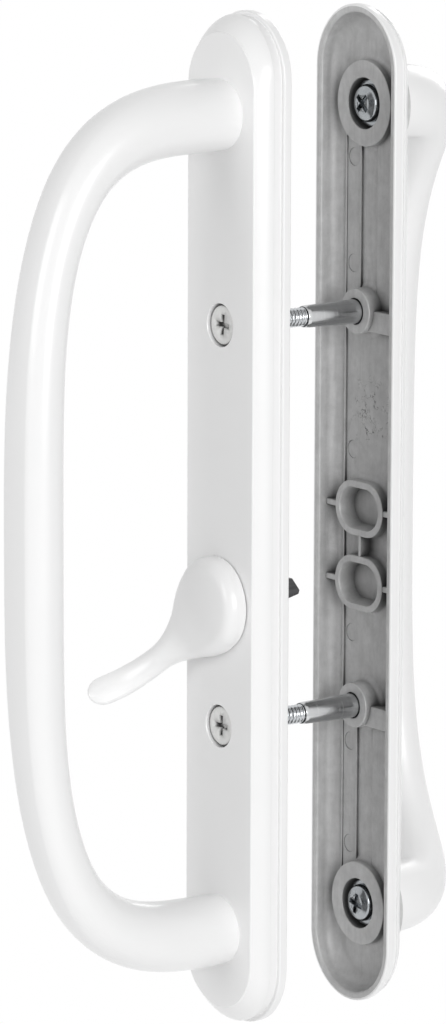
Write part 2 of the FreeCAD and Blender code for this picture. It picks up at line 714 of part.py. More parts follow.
def latch_lever():
    body = new_body("latch_lever")
    back = "-(inside_depth + head_gap)"
    half, side, corner, top = "head_radius", "head_side", "head_round", "head_height"
    crown, join_x, join_y = lever_section(half, side, corner, top)
    # the upper half of the head is turned, the rest is lofted down to the thumb piece
    sketch = new_sketch(body, "Head_outline")
    draw_loop(sketch, [("0", back), ("0", f"{back} - {top}"), (join_x, f"{back} - {join_y}"),
                       (half, f"{back} - {side}"), (half, back)],
              [None, (crown, 1), (corner, 1), None, None])
    turn_profile(body, sketch, "Head", angle=180.0, backwards=True)
    stations = (
        # shares: down, out, then lean in degrees, then half width, side, round, height
        (0.0, 0.0, 0, 1.0, 1.0, 1.0, 1.0),
        (0.11, 0.0, 0, 0.955, 1.0, 1.0, 1.0),
        (0.249, 0.029, 9, 0.72, 0.906, 0.909, 0.967),
        (0.373, 0.09, 19, 0.47, 0.719, 0.727, 0.836),
        (0.539, 0.219, 25, 0.29, 0.438, 0.545, 0.656),
        (0.718, 0.381, 33, 0.29, 0.281, 0.455, 0.508),
        (0.87, 0.61, 49, 0.32, 0.219, 0.364, 0.393),
        (0.956, 0.848, 60, 0.29, 0.188, 0.273, 0.328),
        (1.0, 1.0, 64, 0.15, 0.125, 0.182, 0.197),
    )
    sections = []
    for i, (down, out, lean, *shares) in enumerate(stations):
        width, low, round_, high = (
            f"({size} * {share})" for size, share in zip((half, side, corner, top), shares))
        crown, join_x, join_y = lever_section(width, low, round_, high)
        sketch = free_sketch(body, f"Arm{i}", "0", f"{back} - lever_rise * {out}",
                             f"-lever_drop * {down}", f"180 - {lean}")
        draw_loop(sketch, [(width, "0"), (width, low), (join_x, join_y),
                           (f"-{join_x}", join_y), (f"-{width}", low), (f"-{width}", "0")],
                  [None, (round_, 1), (crown, 1), (round_, 1), None, None])
        sections.append(sketch)
    loft_through(body, sections, "Arm")
    # the hub runs in the plate and carries the clip in a groove near its end
    groove_out = "(hub_boss_recess - thrust_washer_thickness - clip_gap)"
    inner = "(hub_radius - clip_groove)"
    hub = new_sketch(body, "Hub_outline")
    draw_loop(hub, [("0", f"{back} - 1"), ("hub_radius", f"{back} - 1"),
                    ("hub_radius", f"-{groove_out}"), (inner, f"-{groove_out}"),
                    (inner, f"-({groove_out} - clip_thickness)"),
                    ("hub_radius", f"-({groove_out} - clip_thickness)"),
                    ("hub_radius", "-hub_end - 0.4"), ("hub_radius - 0.4", "-hub_end"),
                    ("0", "-hub_end")])
    turn_profile(body, hub, "Hub")
    # the socket that drives the blade, level with the plate while the lever is at rest
    socket = new_sketch(body, "Socket_outline", "XZ_Plane", "hub_end")
    socket.AttachmentOffset = FreeCAD.Placement(
        V(0, 0, 0), FreeCAD.Rotation(V(0, 0, 1), number("latch_rest_angle")))
    socket.setExpression("AttachmentOffset.Rotation.Angle", bound("latch_rest_angle"))
    draw_box(socket, "-blade_thickness / 2 - tap_clearance", "-blade_width / 2 - tap_clearance",
             "blade_thickness / 2 + tap_clearance", "blade_width / 2 + tap_clearance")
    sweep_straight(body, "Pocket", socket, "Socket", "blade_socket", backwards=True)
    body.Placement = FreeCAD.Placement(
        V(0, 0, 0), FreeCAD.Rotation(V(0, 1, 0), number("latch_rest_angle")))
    body.setExpression("Placement.Base.z", bound("-latch_drop"))
    body.setExpression("Placement.Rotation.Angle", bound("latch_rest_angle"))
    return body


def latch_spindle():
    """Flat tailpiece with an off-centre point that enters the lock in the door."""
    body = new_body("latch_spindle")
    half = "blade_width / 2"
    sketch = new_sketch(body, "Blade_outline", "YZ_Plane")
    start = "-(hub_end + blade_socket)"
    draw_loop(sketch, [(start, f"-{half}"), ("blade_tip - 5.5", f"-{half}"),
                       ("blade_tip - 3", "-blade_width * 0.15"), ("blade_tip", "-blade_width * 0.07"),
                       ("blade_tip", "blade_width * 0.03"), ("blade_tip - 3", half), (start, half)])
    sweep_straight(body, "Pad", sketch, "Blade", "blade_thickness", midplane=True)
    body.setExpression("Placement.Base.z", bound("-latch_drop"))
    return body


def hub_ring(name, start, thickness, outer, inner, gap=None):
    """A ring round the hub, from a depth behind the rim plane towards the door."""
    body = new_body(name)
    sketch = new_sketch(body, "Ring", "XZ_Plane", start)
    draw_circle(sketch, "0", "-latch_drop", f"2 * {outer}")
    draw_circle(sketch, "0", "-latch_drop", f"2 * {inner}")
    sweep_straight(body, "Pad", sketch, "Disc", thickness, backwards=True)
    if gap:
        mouth = new_sketch(body, "Mouth_outline", "XZ_Plane", start)
        draw_box(mouth, "0", f"-latch_drop - {gap} / 2", f"{outer} + 1",
                 f"-latch_drop + {gap} / 2")
        sweep_straight(body, "Pocket", mouth, "Mouth", thickness)
    return body


pieces = [inside_plate(), outside_plate(),
          pull("inside_pull", INSIDE), pull("outside_pull", OUTSIDE)]
for place, sign in (("upper", ""), ("lower", "-")):
    foot, mount = f"{sign}pull_spacing / 2", f"{sign}mounting_spacing / 2"
    for side in (INSIDE, OUTSIDE):
        pieces.append(pull_screw(f"{side.prefix}_pull_screw_{place}", side, foot))
        pieces.append(washer(f"{side.prefix}_pull_washer_{place}", side, foot))
    pieces.append(mounting_screw(f"mounting_screw_{place}", mount))
    pieces.append(threaded_post(f"threaded_post_{place}", mount))
pieces.append(latch_lever())
pieces.append(latch_spindle())
pieces.append(hub_ring("latch_washer", "hub_boss_recess", "thrust_washer_thickness",
                       "clip_radius", "(hub_radius + screw_clearance)"))
pieces.append(hub_ring("latch_clip", "hub_boss_recess - thrust_washer_thickness - clip_gap",
                       "clip_thickness", "clip_radius", "(hub_radius - clip_groove)",
                       gap="hub_radius * 1.4"))
doc.recompute()

for thing in doc.Objects:
    if any(word in thing.State for word in ("Invalid", "Error")):
        raise RuntimeError(f"{thing.Label} failed to build: {thing.State}")
for piece in pieces:
    if piece.Shape.isNull() or not piece.Shape.isValid() or len(piece.Shape.Solids) != 1:
        raise RuntimeError(f"{piece.Label} is not one valid solid")
    piece.Shape.exportStep(f"parts/{piece.Label}.step")
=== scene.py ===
"""Sliding patio door handle set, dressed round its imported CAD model. Metres, Z up, Y out of the room."""
import json
import math

import bmesh
import bpy
from mathutils import Matrix, Vector

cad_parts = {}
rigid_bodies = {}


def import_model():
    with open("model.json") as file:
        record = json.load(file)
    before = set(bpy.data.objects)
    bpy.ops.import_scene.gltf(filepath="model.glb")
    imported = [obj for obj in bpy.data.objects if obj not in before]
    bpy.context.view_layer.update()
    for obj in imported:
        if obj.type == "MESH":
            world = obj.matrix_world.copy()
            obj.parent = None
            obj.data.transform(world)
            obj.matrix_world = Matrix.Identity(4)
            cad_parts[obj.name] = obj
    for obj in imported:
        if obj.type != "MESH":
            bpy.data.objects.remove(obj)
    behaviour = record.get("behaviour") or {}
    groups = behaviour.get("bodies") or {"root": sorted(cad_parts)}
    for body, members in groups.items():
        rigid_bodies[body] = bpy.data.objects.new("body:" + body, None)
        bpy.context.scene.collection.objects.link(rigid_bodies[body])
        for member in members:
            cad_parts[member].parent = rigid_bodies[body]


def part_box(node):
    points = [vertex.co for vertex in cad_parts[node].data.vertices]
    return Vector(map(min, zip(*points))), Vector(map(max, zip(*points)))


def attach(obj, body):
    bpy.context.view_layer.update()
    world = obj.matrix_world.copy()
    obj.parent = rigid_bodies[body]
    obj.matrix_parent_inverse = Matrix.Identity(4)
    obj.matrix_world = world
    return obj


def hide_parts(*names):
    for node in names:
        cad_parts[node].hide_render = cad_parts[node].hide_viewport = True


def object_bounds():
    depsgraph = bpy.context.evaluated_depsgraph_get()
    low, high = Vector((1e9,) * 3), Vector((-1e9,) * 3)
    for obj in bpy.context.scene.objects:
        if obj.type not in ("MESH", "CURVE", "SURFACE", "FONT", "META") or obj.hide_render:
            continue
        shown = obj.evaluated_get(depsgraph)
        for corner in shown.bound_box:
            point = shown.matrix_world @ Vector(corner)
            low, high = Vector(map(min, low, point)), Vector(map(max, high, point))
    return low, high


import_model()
cad_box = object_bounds()
scene = bpy.context.scene
MM = 0.001

# View. The camera stands about 1.3 m off, turned 54 degrees round the handle and 10 above it,
# as fitted to the photograph, whose long side is 1024 of its 446 x 1024 pixels.
AZIMUTH = math.radians(53.73)
ELEVATION = math.radians(10.38)
ROLL = math.radians(0.20)
DISTANCE = 1330.4 * MM
AIM_ACROSS = -6.81 * MM
AIM_UP = 2.71 * MM
FOCAL_PIXELS = 5401.8
PHOTO_HEIGHT = 1024

back = Vector((math.sin(AZIMUTH) * math.cos(ELEVATION), -math.cos(AZIMUTH) * math.cos(ELEVATION),
               math.sin(ELEVATION)))
level = Vector((math.cos(AZIMUTH), math.sin(AZIMUTH), 0))
upright = back.cross(level)
right = math.cos(ROLL) * level + math.sin(ROLL) * upright
up = -math.sin(ROLL) * level + math.cos(ROLL) * upright
lens = bpy.data.cameras.new("camera")
lens.sensor_width = 36
lens.lens = FOCAL_PIXELS / PHOTO_HEIGHT * lens.sensor_width
lens.clip_start = 0.1
lens.clip_end = 20
camera = bpy.data.objects.new("camera", lens)
scene.collection.objects.link(camera)
stand = right * AIM_ACROSS + up * AIM_UP + back * DISTANCE
camera.matrix_world = Matrix((
    (right.x, up.x, back.x, stand.x),
    (right.y, up.y, back.y, stand.y),
    (right.z, up.z, back.z, stand.z),
    (0, 0, 0, 1)))
scene.camera = camera
scene.view_settings.view_transform = "Standard"


# Light. A white studio: a large soft lamp to the right of the handle lights the sides of the
# castings, weaker ones fill the front and the back, and the pale floor lies well below.
AMBIENT = 0.37
FLOOR_DROP = 240 * MM
FLOOR_RADIUS = 750 * MM
FLOOR_GLOW = 0.45
LAMPS = (
    # where it stands in metres, its size, and the share of full light that it gives
    ("side_lamp", (1.20, -0.25, 0.26), 0.6, 0.50),
    ("front_lamp", (-0.05, -1.30, 0.45), 0.8, 0.31),
    ("back_lamp", (-0.55, 1.20, 0.80), 0.9, 0.34),
)


def linear(code):
    """The linear colour of an sRGB hex code."""
    shares = [int(code[i:i + 2], 16) / 255 for i in (1, 3, 5)]
    return tuple(s / 12.92 if s <= 0.04045 else ((s + 0.055) / 1.055) ** 2.4 for s in shares) + (1,)


def feed(tree, node, inputs):
    """Give each input of a node a value, or a link from a socket or from a node's first output."""
    for key, value in inputs.items():
        if isinstance(value, bpy.types.Node):
            value = next(socket for socket in value.outputs if socket.enabled)
        if isinstance(value, bpy.types.NodeSocket):
            tree.links.new(value, node.inputs[key])
        else:
            node.inputs[key].default_value = value


def add(tree, kind, inputs=None, **settings):
    """Add one node with its settings and inputs."""
    node = tree.nodes.new(kind)
    for setting, value in settings.items():
        setattr(node, setting, value)
    feed(tree, node, inputs or {})
    return node


def looked_at(tree):
    """1 where a camera, mirror or glass ray looks, and 0 for the light that falls on things."""
    rays = add(tree, "ShaderNodeLightPath").outputs
    most = rays["Is Camera Ray"]
    for kind in ("Is Glossy Ray", "Is Transmission Ray"):
        most = add(tree, "ShaderNodeMath", {0: most, 1: rays[kind]}, operation="MAXIMUM")
    return most


world = bpy.data.worlds.new("white_studio")
scene.world = world
world.use_nodes = True
world.node_tree.nodes.clear()
room = add(world.node_tree, "ShaderNodeBackground", {"Color": linear("#FFFFFF"), "Strength": AMBIENT})
shown = add(world.node_tree, "ShaderNodeBackground", {"Color": linear("#FFFFFF"), "Strength": 1.0})
both = add(world.node_tree, "ShaderNodeMixShader", {0: looked_at(world.node_tree), 1: room, 2: shown})
add(world.node_tree, "ShaderNodeOutputWorld", {"Surface": both})

for name, where, size, share in LAMPS:
    lamp = bpy.data.lights.new(name, "AREA")
    lamp.size = size
    lamp.energy = share * (math.pi * Vector(where).length) ** 2
    holder = bpy.data.objects.new(name, lamp)
    holder.location = where
    holder.rotation_euler = Vector(where).to_track_quat("Z", "Y").to_euler()
    scene.collection.objects.link(holder)

disc = bmesh.new()
bmesh.ops.create_circle(disc, cap_ends=True, segments=96, radius=FLOOR_RADIUS)
bmesh.ops.translate(disc, verts=disc.verts, vec=(0, 0, cad_box[0][2] - FLOOR_DROP))
floor = bpy.data.objects.new("floor", bpy.data.meshes.new("floor"))
disc.to_mesh(floor.data)
disc.free()
scene.collection.objects.link(floor)
pale = bpy.data.materials.new("pale_floor")
pale.use_nodes = True
pale.node_tree.nodes.clear()
glow = add(pale.node_tree, "ShaderNodeMath", {0: looked_at(pale.node_tree), 1: FLOOR_GLOW},
           operation="MULTIPLY")
matt = add(pale.node_tree, "ShaderNodeBsdfDiffuse", {"Color": linear("#F2F2F2")})
lit = add(pale.node_tree, "ShaderNodeEmission", {"Strength": glow})
both = add(pale.node_tree, "ShaderNodeAddShader", {0: matt, 1: lit})
add(pale.node_tree, "ShaderNodeOutputMaterial", {"Surface": both})
floor.data.materials.append(pale)


# Inside plate. A hollow zinc die casting with a flat land, a stepped and coved edge, a shadow
# groove and a flange. Its face is baked white enamel, and its hollow side is bare casting.
# Screws sunk into its face and the latch's hub pass through it.
low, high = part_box("inside_plate")
PLATE_HALF = high.x
PLATE_TURN = high.z - PLATE_HALF
INSIDE_DEPTH = -low.y
FRONT_WALL = 2.0 * MM
RIM_WALL = 2.1 * MM
WALL_DRAFT = 0.5 * MM
FLOOR_FILLET = 3.4 * MM
LAND_STEP = 0.4 * MM
LAND_END_INSET = 2.3 * MM
GROOVE_DEPTH = 0.5 * MM
PULL_HEIGHT = 101.6 * MM
POST_HEIGHT = 50.0 * MM
LATCH_DROP = 19.05 * MM
PULL_BOSS_RADIUS = 10.7 * MM
PULL_BOSS_RECESS = 2.6 * MM
PULL_WELL_RADIUS = 6.3 * MM
CLEARANCE_HOLE_RADIUS = 2.6 * MM
SCREW_BOSS_RADIUS = 7.8 * MM
POST_BOSS_RECESS = 0.4 * MM
HUB_BOSS_RADIUS = 9.9 * MM
HUB_BOSS_RECESS = 4.0 * MM
HUB_HOLE_RADIUS = 6.05 * MM
HEAD_WELL_RADIUS = 5.25 * MM
HEAD_WELL_FLOOR = 6.4 * MM
WEB_THICKNESS = 1.5 * MM
WEB_RECESS = 2.3 * MM
EDGE_SOFTNESS = 0.35 * MM
FOOT_FLARE = 1.3 * MM
ENAMELLED, BARE = 0, 1
COLD_SHUT_AT = (1 * MM, 37 * MM, 24 * MM)


def rounded(corners, steps=5):
    """Points of a chain of (across, along, radius) corners, each turned by its radius."""
    points = []
    for i, (across, along, radius) in enumerate(corners):
        here = Vector((across, along))
        if not radius:
            points.append(here)
            continue
        before = (Vector(corners[i - 1][:2]) - here).normalized()
        after = (Vector(corners[i + 1][:2]) - here).normalized()
        half = before.angle(after) / 2
        centre = here + (before + after).normalized() * (radius / math.sin(half))
        start = here + before * (radius / math.tan(half)) - centre
        end = here + after * (radius / math.tan(half)) - centre
        turn = start.angle(end)
        for k in range(steps + 1):
            share = k / steps
            points.append(centre + (start * math.sin((1 - share) * turn)
                                    + end * math.sin(share * turn)) / math.sin(turn))
    return points


def arc(across, along, radius, start, end, steps):
    """Points on an arc about a centre, from one angle to another."""
    angles = [start + (end - start) * k / steps for k in range(steps + 1)]
    return [Vector((across + radius * math.cos(a), along + radius * math.sin(a))) for a in angles]


def skin(mesh, rings, around=True, caps=False, bare_from=None):
    """Faces from each ring of vertices to the next, and over both ends where it is capped."""
    for ring, after in zip(rings, rings[1:]):
        for j in range(len(ring) if around else len(ring) - 1):
            k = (j + 1) % len(ring)
            face = mesh.faces.new((ring[j], ring[k], after[k], after[j]))
            if bare_from is not None and j >= bare_from:
                face.material_index = BARE
    if caps:
        mesh.faces.new(rings[0])
        mesh.faces.new(rings[-1])
        bmesh.ops.recalc_face_normals(mesh, faces=mesh.faces)


def finish_all(mesh, finish):
    """Give every face of a mesh the same finish."""
    for face in mesh.faces:
        face.material_index = finish
    return mesh


def swept(profile, seat, out, spine=(0, 0), steps=32, bare_from=None):
    """Turn a half profile of (reach, distance, end inset) about a line of half length spine.

    The profile starts and ends at no reach, or closes on itself as a ring's section does.
    """
    mesh = bmesh.new()
    spine = Vector(spine)
    heading = math.atan2(spine.y, spine.x)
    rings = []
    for end in (0, 1):
        for k in range(steps + 1):
            angle = heading + math.pi * (end + k / steps - 0.5)
            ring = []
            for reach, distance, inset in profile:
                shift = spine * (1 - 2 * end)
                if spine.length:
                    shift = shift * ((spine.length - inset) / spine.length)
                ring.append(mesh.verts.new((
                    seat[0] + shift.x + reach * math.cos(angle),
                    seat[1] + out * distance,
                    seat[2] + shift.y + reach * math.sin(angle))))
            rings.append(ring)
    skin(mesh, rings + rings[:1], around=profile[0][0] > 0, bare_from=bare_from)
    bmesh.ops.remove_doubles(mesh, verts=mesh.verts, dist=0.001 * MM)
    bmesh.ops.recalc_face_normals(mesh, faces=mesh.faces)
    return mesh


def boss(seat, out, radius, face, foot, spine=(0, 0)):
    """A cast boss: a flat face with a soft edge, a drafted side and a flared foot."""
    sides = rounded([(0, face, 0), (radius, face, EDGE_SOFTNESS),
                     (radius + WALL_DRAFT / 3, foot, FOOT_FLARE),
                     (radius + 2.5 * FOOT_FLARE, foot, 0),
                     (radius + 2.5 * FOOT_FLARE, foot + FRONT_WALL / 2, 0),
                     (0, foot + FRONT_WALL / 2, 0)])
    return swept([(p.x, p.y, 0) for p in sides], seat, out, spine, bare_from=0)


def bore(seat, out, radius, start, end, mouth=0.3 * MM, taper=0.0, spine=(0, 0), side=BARE):
    """A cutter for a round hole whose mouth, at its start, is softened by a small flare."""
    sign = 1 if end > start else -1
    chain = rounded([(0, start - sign * mouth, 0), (radius + mouth, start - sign * mouth, 0),
                     (radius + mouth / 4, start + sign * mouth * 0.75, mouth / 2),
                     (radius - taper, end, 0), (0, end, 0)])
    return finish_all(swept([(p.x, p.y, 0) for p in chain], seat, out, spine), side)


def block(low, high, soft=EDGE_SOFTNESS):
    """A block between two corners with soft edges."""
    mesh = bmesh.new()
    bmesh.ops.create_cube(mesh, size=1)
    for vertex in mesh.verts:
        for axis in range(3):
            vertex.co[axis] = low[axis] if vertex.co[axis] < 0 else high[axis]
    if soft:
        bmesh.ops.bevel(mesh, geom=mesh.edges, offset=soft, segments=3, profile=0.5, affect="EDGES")
    return finish_all(mesh, BARE)


def as_object(name, mesh, *finishes):
    """An object of the scene that holds a finished mesh."""
    thing = bpy.data.objects.new(name, bpy.data.meshes.new(name))
    mesh.to_mesh(thing.data)
    mesh.free()
    for finish in finishes:
        thing.data.materials.append(finish)
    scene.collection.objects.link(thing)
    return thing


def settle(piece):
    """Turn a piece with its modifiers into one plain mesh."""
    bpy.context.view_layer.update()
    drawn = piece.evaluated_get(bpy.context.evaluated_depsgraph_get())
    plain = bpy.data.meshes.new_from_object(drawn)
    piece.modifiers.clear()
    piece.data = plain


def cast(piece, raised, cuts):
    """Join the raised shapes to a piece, take the cuts out, and shade what results."""
    for operation, meshes in (("UNION", raised), ("DIFFERENCE", cuts)):
        tools = bpy.data.collections.new(f"{piece.name}_{operation.lower()}")
        scene.collection.children.link(tools)
        for i, mesh in enumerate(meshes):
            tool = as_object(f"{tools.name}_{i}", mesh, *piece.data.materials)
            scene.collection.objects.unlink(tool)
            tools.objects.link(tool)
        modifier = piece.modifiers.new(operation, "BOOLEAN")
        modifier.operation = operation
        modifier.operand_type = "COLLECTION"
        modifier.collection = tools
        modifier.solver = "EXACT"
        settle(piece)
        for tool in list(tools.objects):
            bpy.data.objects.remove(tool)
        bpy.data.collections.remove(tools)
    shade(piece)


def shade(piece, crease=32):
    """Smooth shading with crisp edges past an angle, and flats that stay flat."""
    piece.data.shade_smooth()
    piece.data.set_sharp_from_angle(angle=math.radians(crease))
    modifier = piece.modifiers.new("flats", "WEIGHTED_NORMAL")
    modifier.keep_sharp = True
    settle(piece)


def start_finish(name, code, roughness, metallic=0.0):
    """A new material with plain values, its shader, and the place that its patterns read."""
    material = bpy.data.materials.new(name)
    material.use_nodes = True
    shader = material.node_tree.nodes["Principled BSDF"]
    feed(material.node_tree, shader, {
        "Base Color": linear(code), "Roughness": roughness, "Metallic": metallic})
    place = add(material.node_tree, "ShaderNodeTexCoord").outputs["Object"]
    return material, material.node_tree, shader, place


def baked_enamel():
    """Baked enamel: a smooth satin white with a faint orange peel and a soft, wide highlight."""
    material, tree, shader, place = start_finish("baked_white_enamel", "#F5F5F5", 0.30)
    feed(tree, shader, {"IOR": 1.52, "Coat Weight": 0.25, "Coat Roughness": 0.12})
    cloud = add(tree, "ShaderNodeTexNoise", {
        "Vector": place, "Scale": 1 / (16 * MM), "Detail": 3.0, "Roughness": 0.55})
    gloss = add(tree, "ShaderNodeMapRange", {
        "Value": cloud, "From Min": 0.3, "From Max": 0.7,
        "To Min": 0.28, "To Max": 0.33})
    tint = add(tree, "ShaderNodeMix", {
        0: cloud, 6: linear("#F4F4F4"), 7: linear("#F6F6F6")}, data_type="RGBA")
    peel = add(tree, "ShaderNodeTexNoise", {"Vector": place, "Scale": 1 / (1.3 * MM), "Detail": 1.5})
    relief = add(tree, "ShaderNodeBump", {
        "Height": peel, "Strength": 0.2, "Distance": 0.01 * MM})
    feed(tree, shader, {"Base Color": tint, "Roughness": gloss, "Normal": relief})
    return material


def bare_casting():
    """Bare die-cast zinc: a dull grey skin with flow marks, mottling and small pores."""
    material, tree, shader, place = start_finish("bare_zinc_casting", "#B6B6B4", 0.5, 0.15)
    mottle = add(tree, "ShaderNodeTexNoise", {
        "Vector": place, "Scale": 1 / (3.2 * MM), "Detail": 5.0, "Roughness": 0.65})
    along = add(tree, "ShaderNodeMapping", {"Vector": place, "Scale": (1.0, 1.0, 0.12)})
    flow = add(tree, "ShaderNodeTexNoise", {
        "Vector": along, "Scale": 1 / (1.1 * MM), "Detail": 3.0, "Distortion": 0.6})
    tone = add(tree, "ShaderNodeMapRange", {
        "Value": mottle, "From Min": 0.3, "From Max": 0.7})
    base = add(tree, "ShaderNodeMix", {
        0: tone, 6: linear("#BCBCBC"), 7: linear("#D0D0D0")}, data_type="RGBA")
    streak = add(tree, "ShaderNodeMapRange", {
        "Value": flow, "From Min": 0.45, "From Max": 0.75, "To Max": 0.25})
    streaked = add(tree, "ShaderNodeMix", {
        0: streak, 6: base, 7: linear("#A0A0A0")}, data_type="RGBA")
    # painted shade: the grey darkens towards #767676 where walls and corners close in round it
    crevice_ao = add(tree, "ShaderNodeAmbientOcclusion", {"Distance": 3.2 * MM}, samples=12)
    painted_shade_mask = add(tree, "ShaderNodeMapRange", {
        "Value": crevice_ao.outputs["AO"], "From Min": 0.25, "From Max": 0.7})
    with_painted_shade = add(tree, "ShaderNodeMix", {
        0: painted_shade_mask, 6: linear("#767676"), 7: streaked}, data_type="RGBA")
    # painted shade: the wells and other deep hollows darken further, towards #464646
    deep_ao = add(tree, "ShaderNodeAmbientOcclusion", {"Distance": 9.0 * MM}, samples=12)
    depth = add(tree, "ShaderNodeMapRange", {
        "Value": deep_ao.outputs["AO"], "From Min": 0.3, "From Max": 0.74})
    with_painted_shade = add(tree, "ShaderNodeMix", {
        0: depth, 6: linear("#464646"), 7: with_painted_shade}, data_type="RGBA")
    # cold shuts: short dark cracks where the metal met late, about halfway to the upper post
    spot = add(tree, "ShaderNodeVectorMath", {0: place, 1: COLD_SHUT_AT}, operation="DISTANCE")
    within = add(tree, "ShaderNodeMapRange", {
        "Value": spot, "From Min": 5 * MM, "From Max": 11 * MM,
        "To Min": 1.0, "To Max": 0.0})
    seams = add(tree, "ShaderNodeTexNoise", {
        "Vector": place, "Scale": 1 / (2.4 * MM), "Detail": 2.0, "Distortion": 1.5})
    thin = add(tree, "ShaderNodeMath", {0: seams, 1: 0.5}, operation="SUBTRACT")
    thin = add(tree, "ShaderNodeMath", {0: thin}, operation="ABSOLUTE")
    crack = add(tree, "ShaderNodeMapRange", {
        "Value": thin, "From Min": 0.006, "From Max": 0.018,
        "To Min": 1.0, "To Max": 0.0})
    broken = add(tree, "ShaderNodeTexNoise", {"Vector": place, "Scale": 1 / (3.1 * MM), "Detail": 1.0})
    some = add(tree, "ShaderNodeMapRange", {
        "Value": broken, "From Min": 0.5, "From Max": 0.56})
    crack = add(tree, "ShaderNodeMath", {0: crack, 1: some}, operation="MULTIPLY")
    crack = add(tree, "ShaderNodeMath", {0: crack, 1: within},
                operation="MULTIPLY")
    colour = add(tree, "ShaderNodeMix", {
        0: crack, 6: with_painted_shade, 7: linear("#3E3E3D")}, data_type="RGBA")
    pores = add(tree, "ShaderNodeTexVoronoi", {"Vector": place, "Scale": 1 / (1.7 * MM)})
    pits = add(tree, "ShaderNodeMapRange", {
        "Value": pores, "From Min": 0.08, "From Max": 0.22})
    grain = add(tree, "ShaderNodeTexNoise", {"Vector": place, "Scale": 1 / (0.5 * MM), "Detail": 3.0})
    height = add(tree, "ShaderNodeMath", {
        0: pits, 1: 0.6, 2: grain}, operation="MULTIPLY_ADD")
    relief = add(tree, "ShaderNodeBump", {
        "Height": height, "Strength": 0.6, "Distance": 0.05 * MM})
    feed(tree, shader, {"Base Color": colour, "Normal": relief})
    return material


def plate_profile(depth, land_inset, cove_inset, cove_foot, cove_bulge, flange):
    """Half section of a plate, from the middle of its land round to the middle of its floor."""
    land, top = PLATE_HALF - land_inset, depth - LAND_STEP
    cove_top, foot = land + LAND_STEP / 4, PLATE_HALF - cove_inset
    cove = []
    for k in range(1, 8):
        share = k / 8
        cove.append((cove_top + (foot - cove_top) * share + 4 * cove_bulge * share * (1 - share),
                     top + (cove_foot - top) * share, 0))
    face = rounded([(0, depth, 0), (land - MM, depth, 0), (land, depth, 0.34 * MM),
                    (cove_top, top, 0.2 * MM)] + cove
                   + [(foot, cove_foot, 0.3 * MM), (foot - GROOVE_DEPTH, cove_foot, 0.2 * MM),
                      (foot - GROOVE_DEPTH, flange, 0.2 * MM), (PLATE_HALF, flange, 0.4 * MM),
                      (PLATE_HALF, 0, 0.45 * MM), (PLATE_HALF - 0.6 * MM, 0, 0)])
    wall, floor_at = PLATE_HALF - RIM_WALL, depth - FRONT_WALL
    hollow = rounded([(PLATE_HALF - 0.6 * MM, 0, 0), (wall, 0, 0.7 * MM),
                      (wall - WALL_DRAFT, floor_at, FLOOR_FILLET), (0, floor_at, 0)], steps=8)
    ends = []
    for point in face:
        share = min(max((point.y - cove_foot) / (top - cove_foot), 0), 1)
        ends.append(LAND_END_INSET * (2 * share ** 2 + share) / 3)
    profile = [(p.x, p.y, inset) for p, inset in zip(face, ends)]
    return profile + [(p.x, p.y, 0) for p in hollow[1:]], len(face) - 1


def pull_seats(rim, out, floor_at):
    """The bosses for a pull's two screws, with their wells and holes."""
    raised, cuts = [], []
    for z in (PULL_HEIGHT, -PULL_HEIGHT):
        seat = (0, rim, z)
        raised.append(boss(seat, out, PULL_BOSS_RADIUS, PULL_BOSS_RECESS, floor_at))
        cuts.append(bore(seat, out, PULL_WELL_RADIUS, PULL_BOSS_RECESS, floor_at))
        cuts.append(bore(seat, out, CLEARANCE_HOLE_RADIUS, floor_at - MM, floor_at + 2 * FRONT_WALL,
                         mouth=0))
    return raised, cuts


def web(x0, z, thickness, rim, out, recess, floor_at):
    """A web to the wall, from a recess below the rim into the floor, clear of its fillet."""
    wall = PLATE_HALF - RIM_WALL + 0.25 * MM
    cut = 0.45 * FLOOR_FILLET
    outline = [(wall, recess), (wall, floor_at - cut), (wall - cut, floor_at + FRONT_WALL / 8)]
    if x0 < 0:
        outline += [(-x, distance) for x, distance in reversed(outline)]
    else:
        outline += [(x0, floor_at + FRONT_WALL / 8), (x0, recess)]
    mesh = bmesh.new()
    skin(mesh, [[mesh.verts.new((x, rim + out * distance, z + side * thickness / 2))
                 for x, distance in outline] for side in (-1, 1)], caps=True)
    bmesh.ops.bevel(mesh, geom=mesh.edges, offset=min(EDGE_SOFTNESS, thickness / 3), segments=3,
                    profile=0.5, affect="EDGES")
    return finish_all(mesh, BARE)


enamel, casting = baked_enamel(), bare_casting()
inside_floor = INSIDE_DEPTH - FRONT_WALL
profile, turned_at = plate_profile(INSIDE_DEPTH, land_inset=2.5 * MM, cove_inset=0.6 * MM,
                                   cove_foot=4.6 * MM, cove_bulge=0.37 * MM, flange=2.3 * MM)
inside_plate = as_object("inside_plate_casting", swept(
    profile, (0, 0, 0), -1, (0, PLATE_TURN), bare_from=turned_at), enamel, casting)
raised, cuts = pull_seats(0, -1, inside_floor)
for z in (POST_HEIGHT, -POST_HEIGHT):
    raised.append(boss((0, 0, z), -1, SCREW_BOSS_RADIUS, POST_BOSS_RECESS, inside_floor))
    raised.append(web(-1, z, WEB_THICKNESS, 0, -1, WEB_RECESS, inside_floor))
    cuts.append(bore((0, 0, z), -1, CLEARANCE_HOLE_RADIUS, POST_BOSS_RECESS, INSIDE_DEPTH))
    cuts.append(bore((0, 0, z), -1, HEAD_WELL_RADIUS, INSIDE_DEPTH, HEAD_WELL_FLOOR, side=ENAMELLED))
raised.append(boss((0, 0, -LATCH_DROP), -1, HUB_BOSS_RADIUS, HUB_BOSS_RECESS, inside_floor))
raised.append(web(-1, -LATCH_DROP, WEB_THICKNESS, 0, -1, HUB_BOSS_RECESS, inside_floor))
cuts.append(bore((0, 0, -LATCH_DROP), -1, HUB_HOLE_RADIUS, HUB_BOSS_RECESS, INSIDE_DEPTH + MM))
cast(inside_plate, raised, cuts)
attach(inside_plate, "handle_set")
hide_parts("inside_plate")


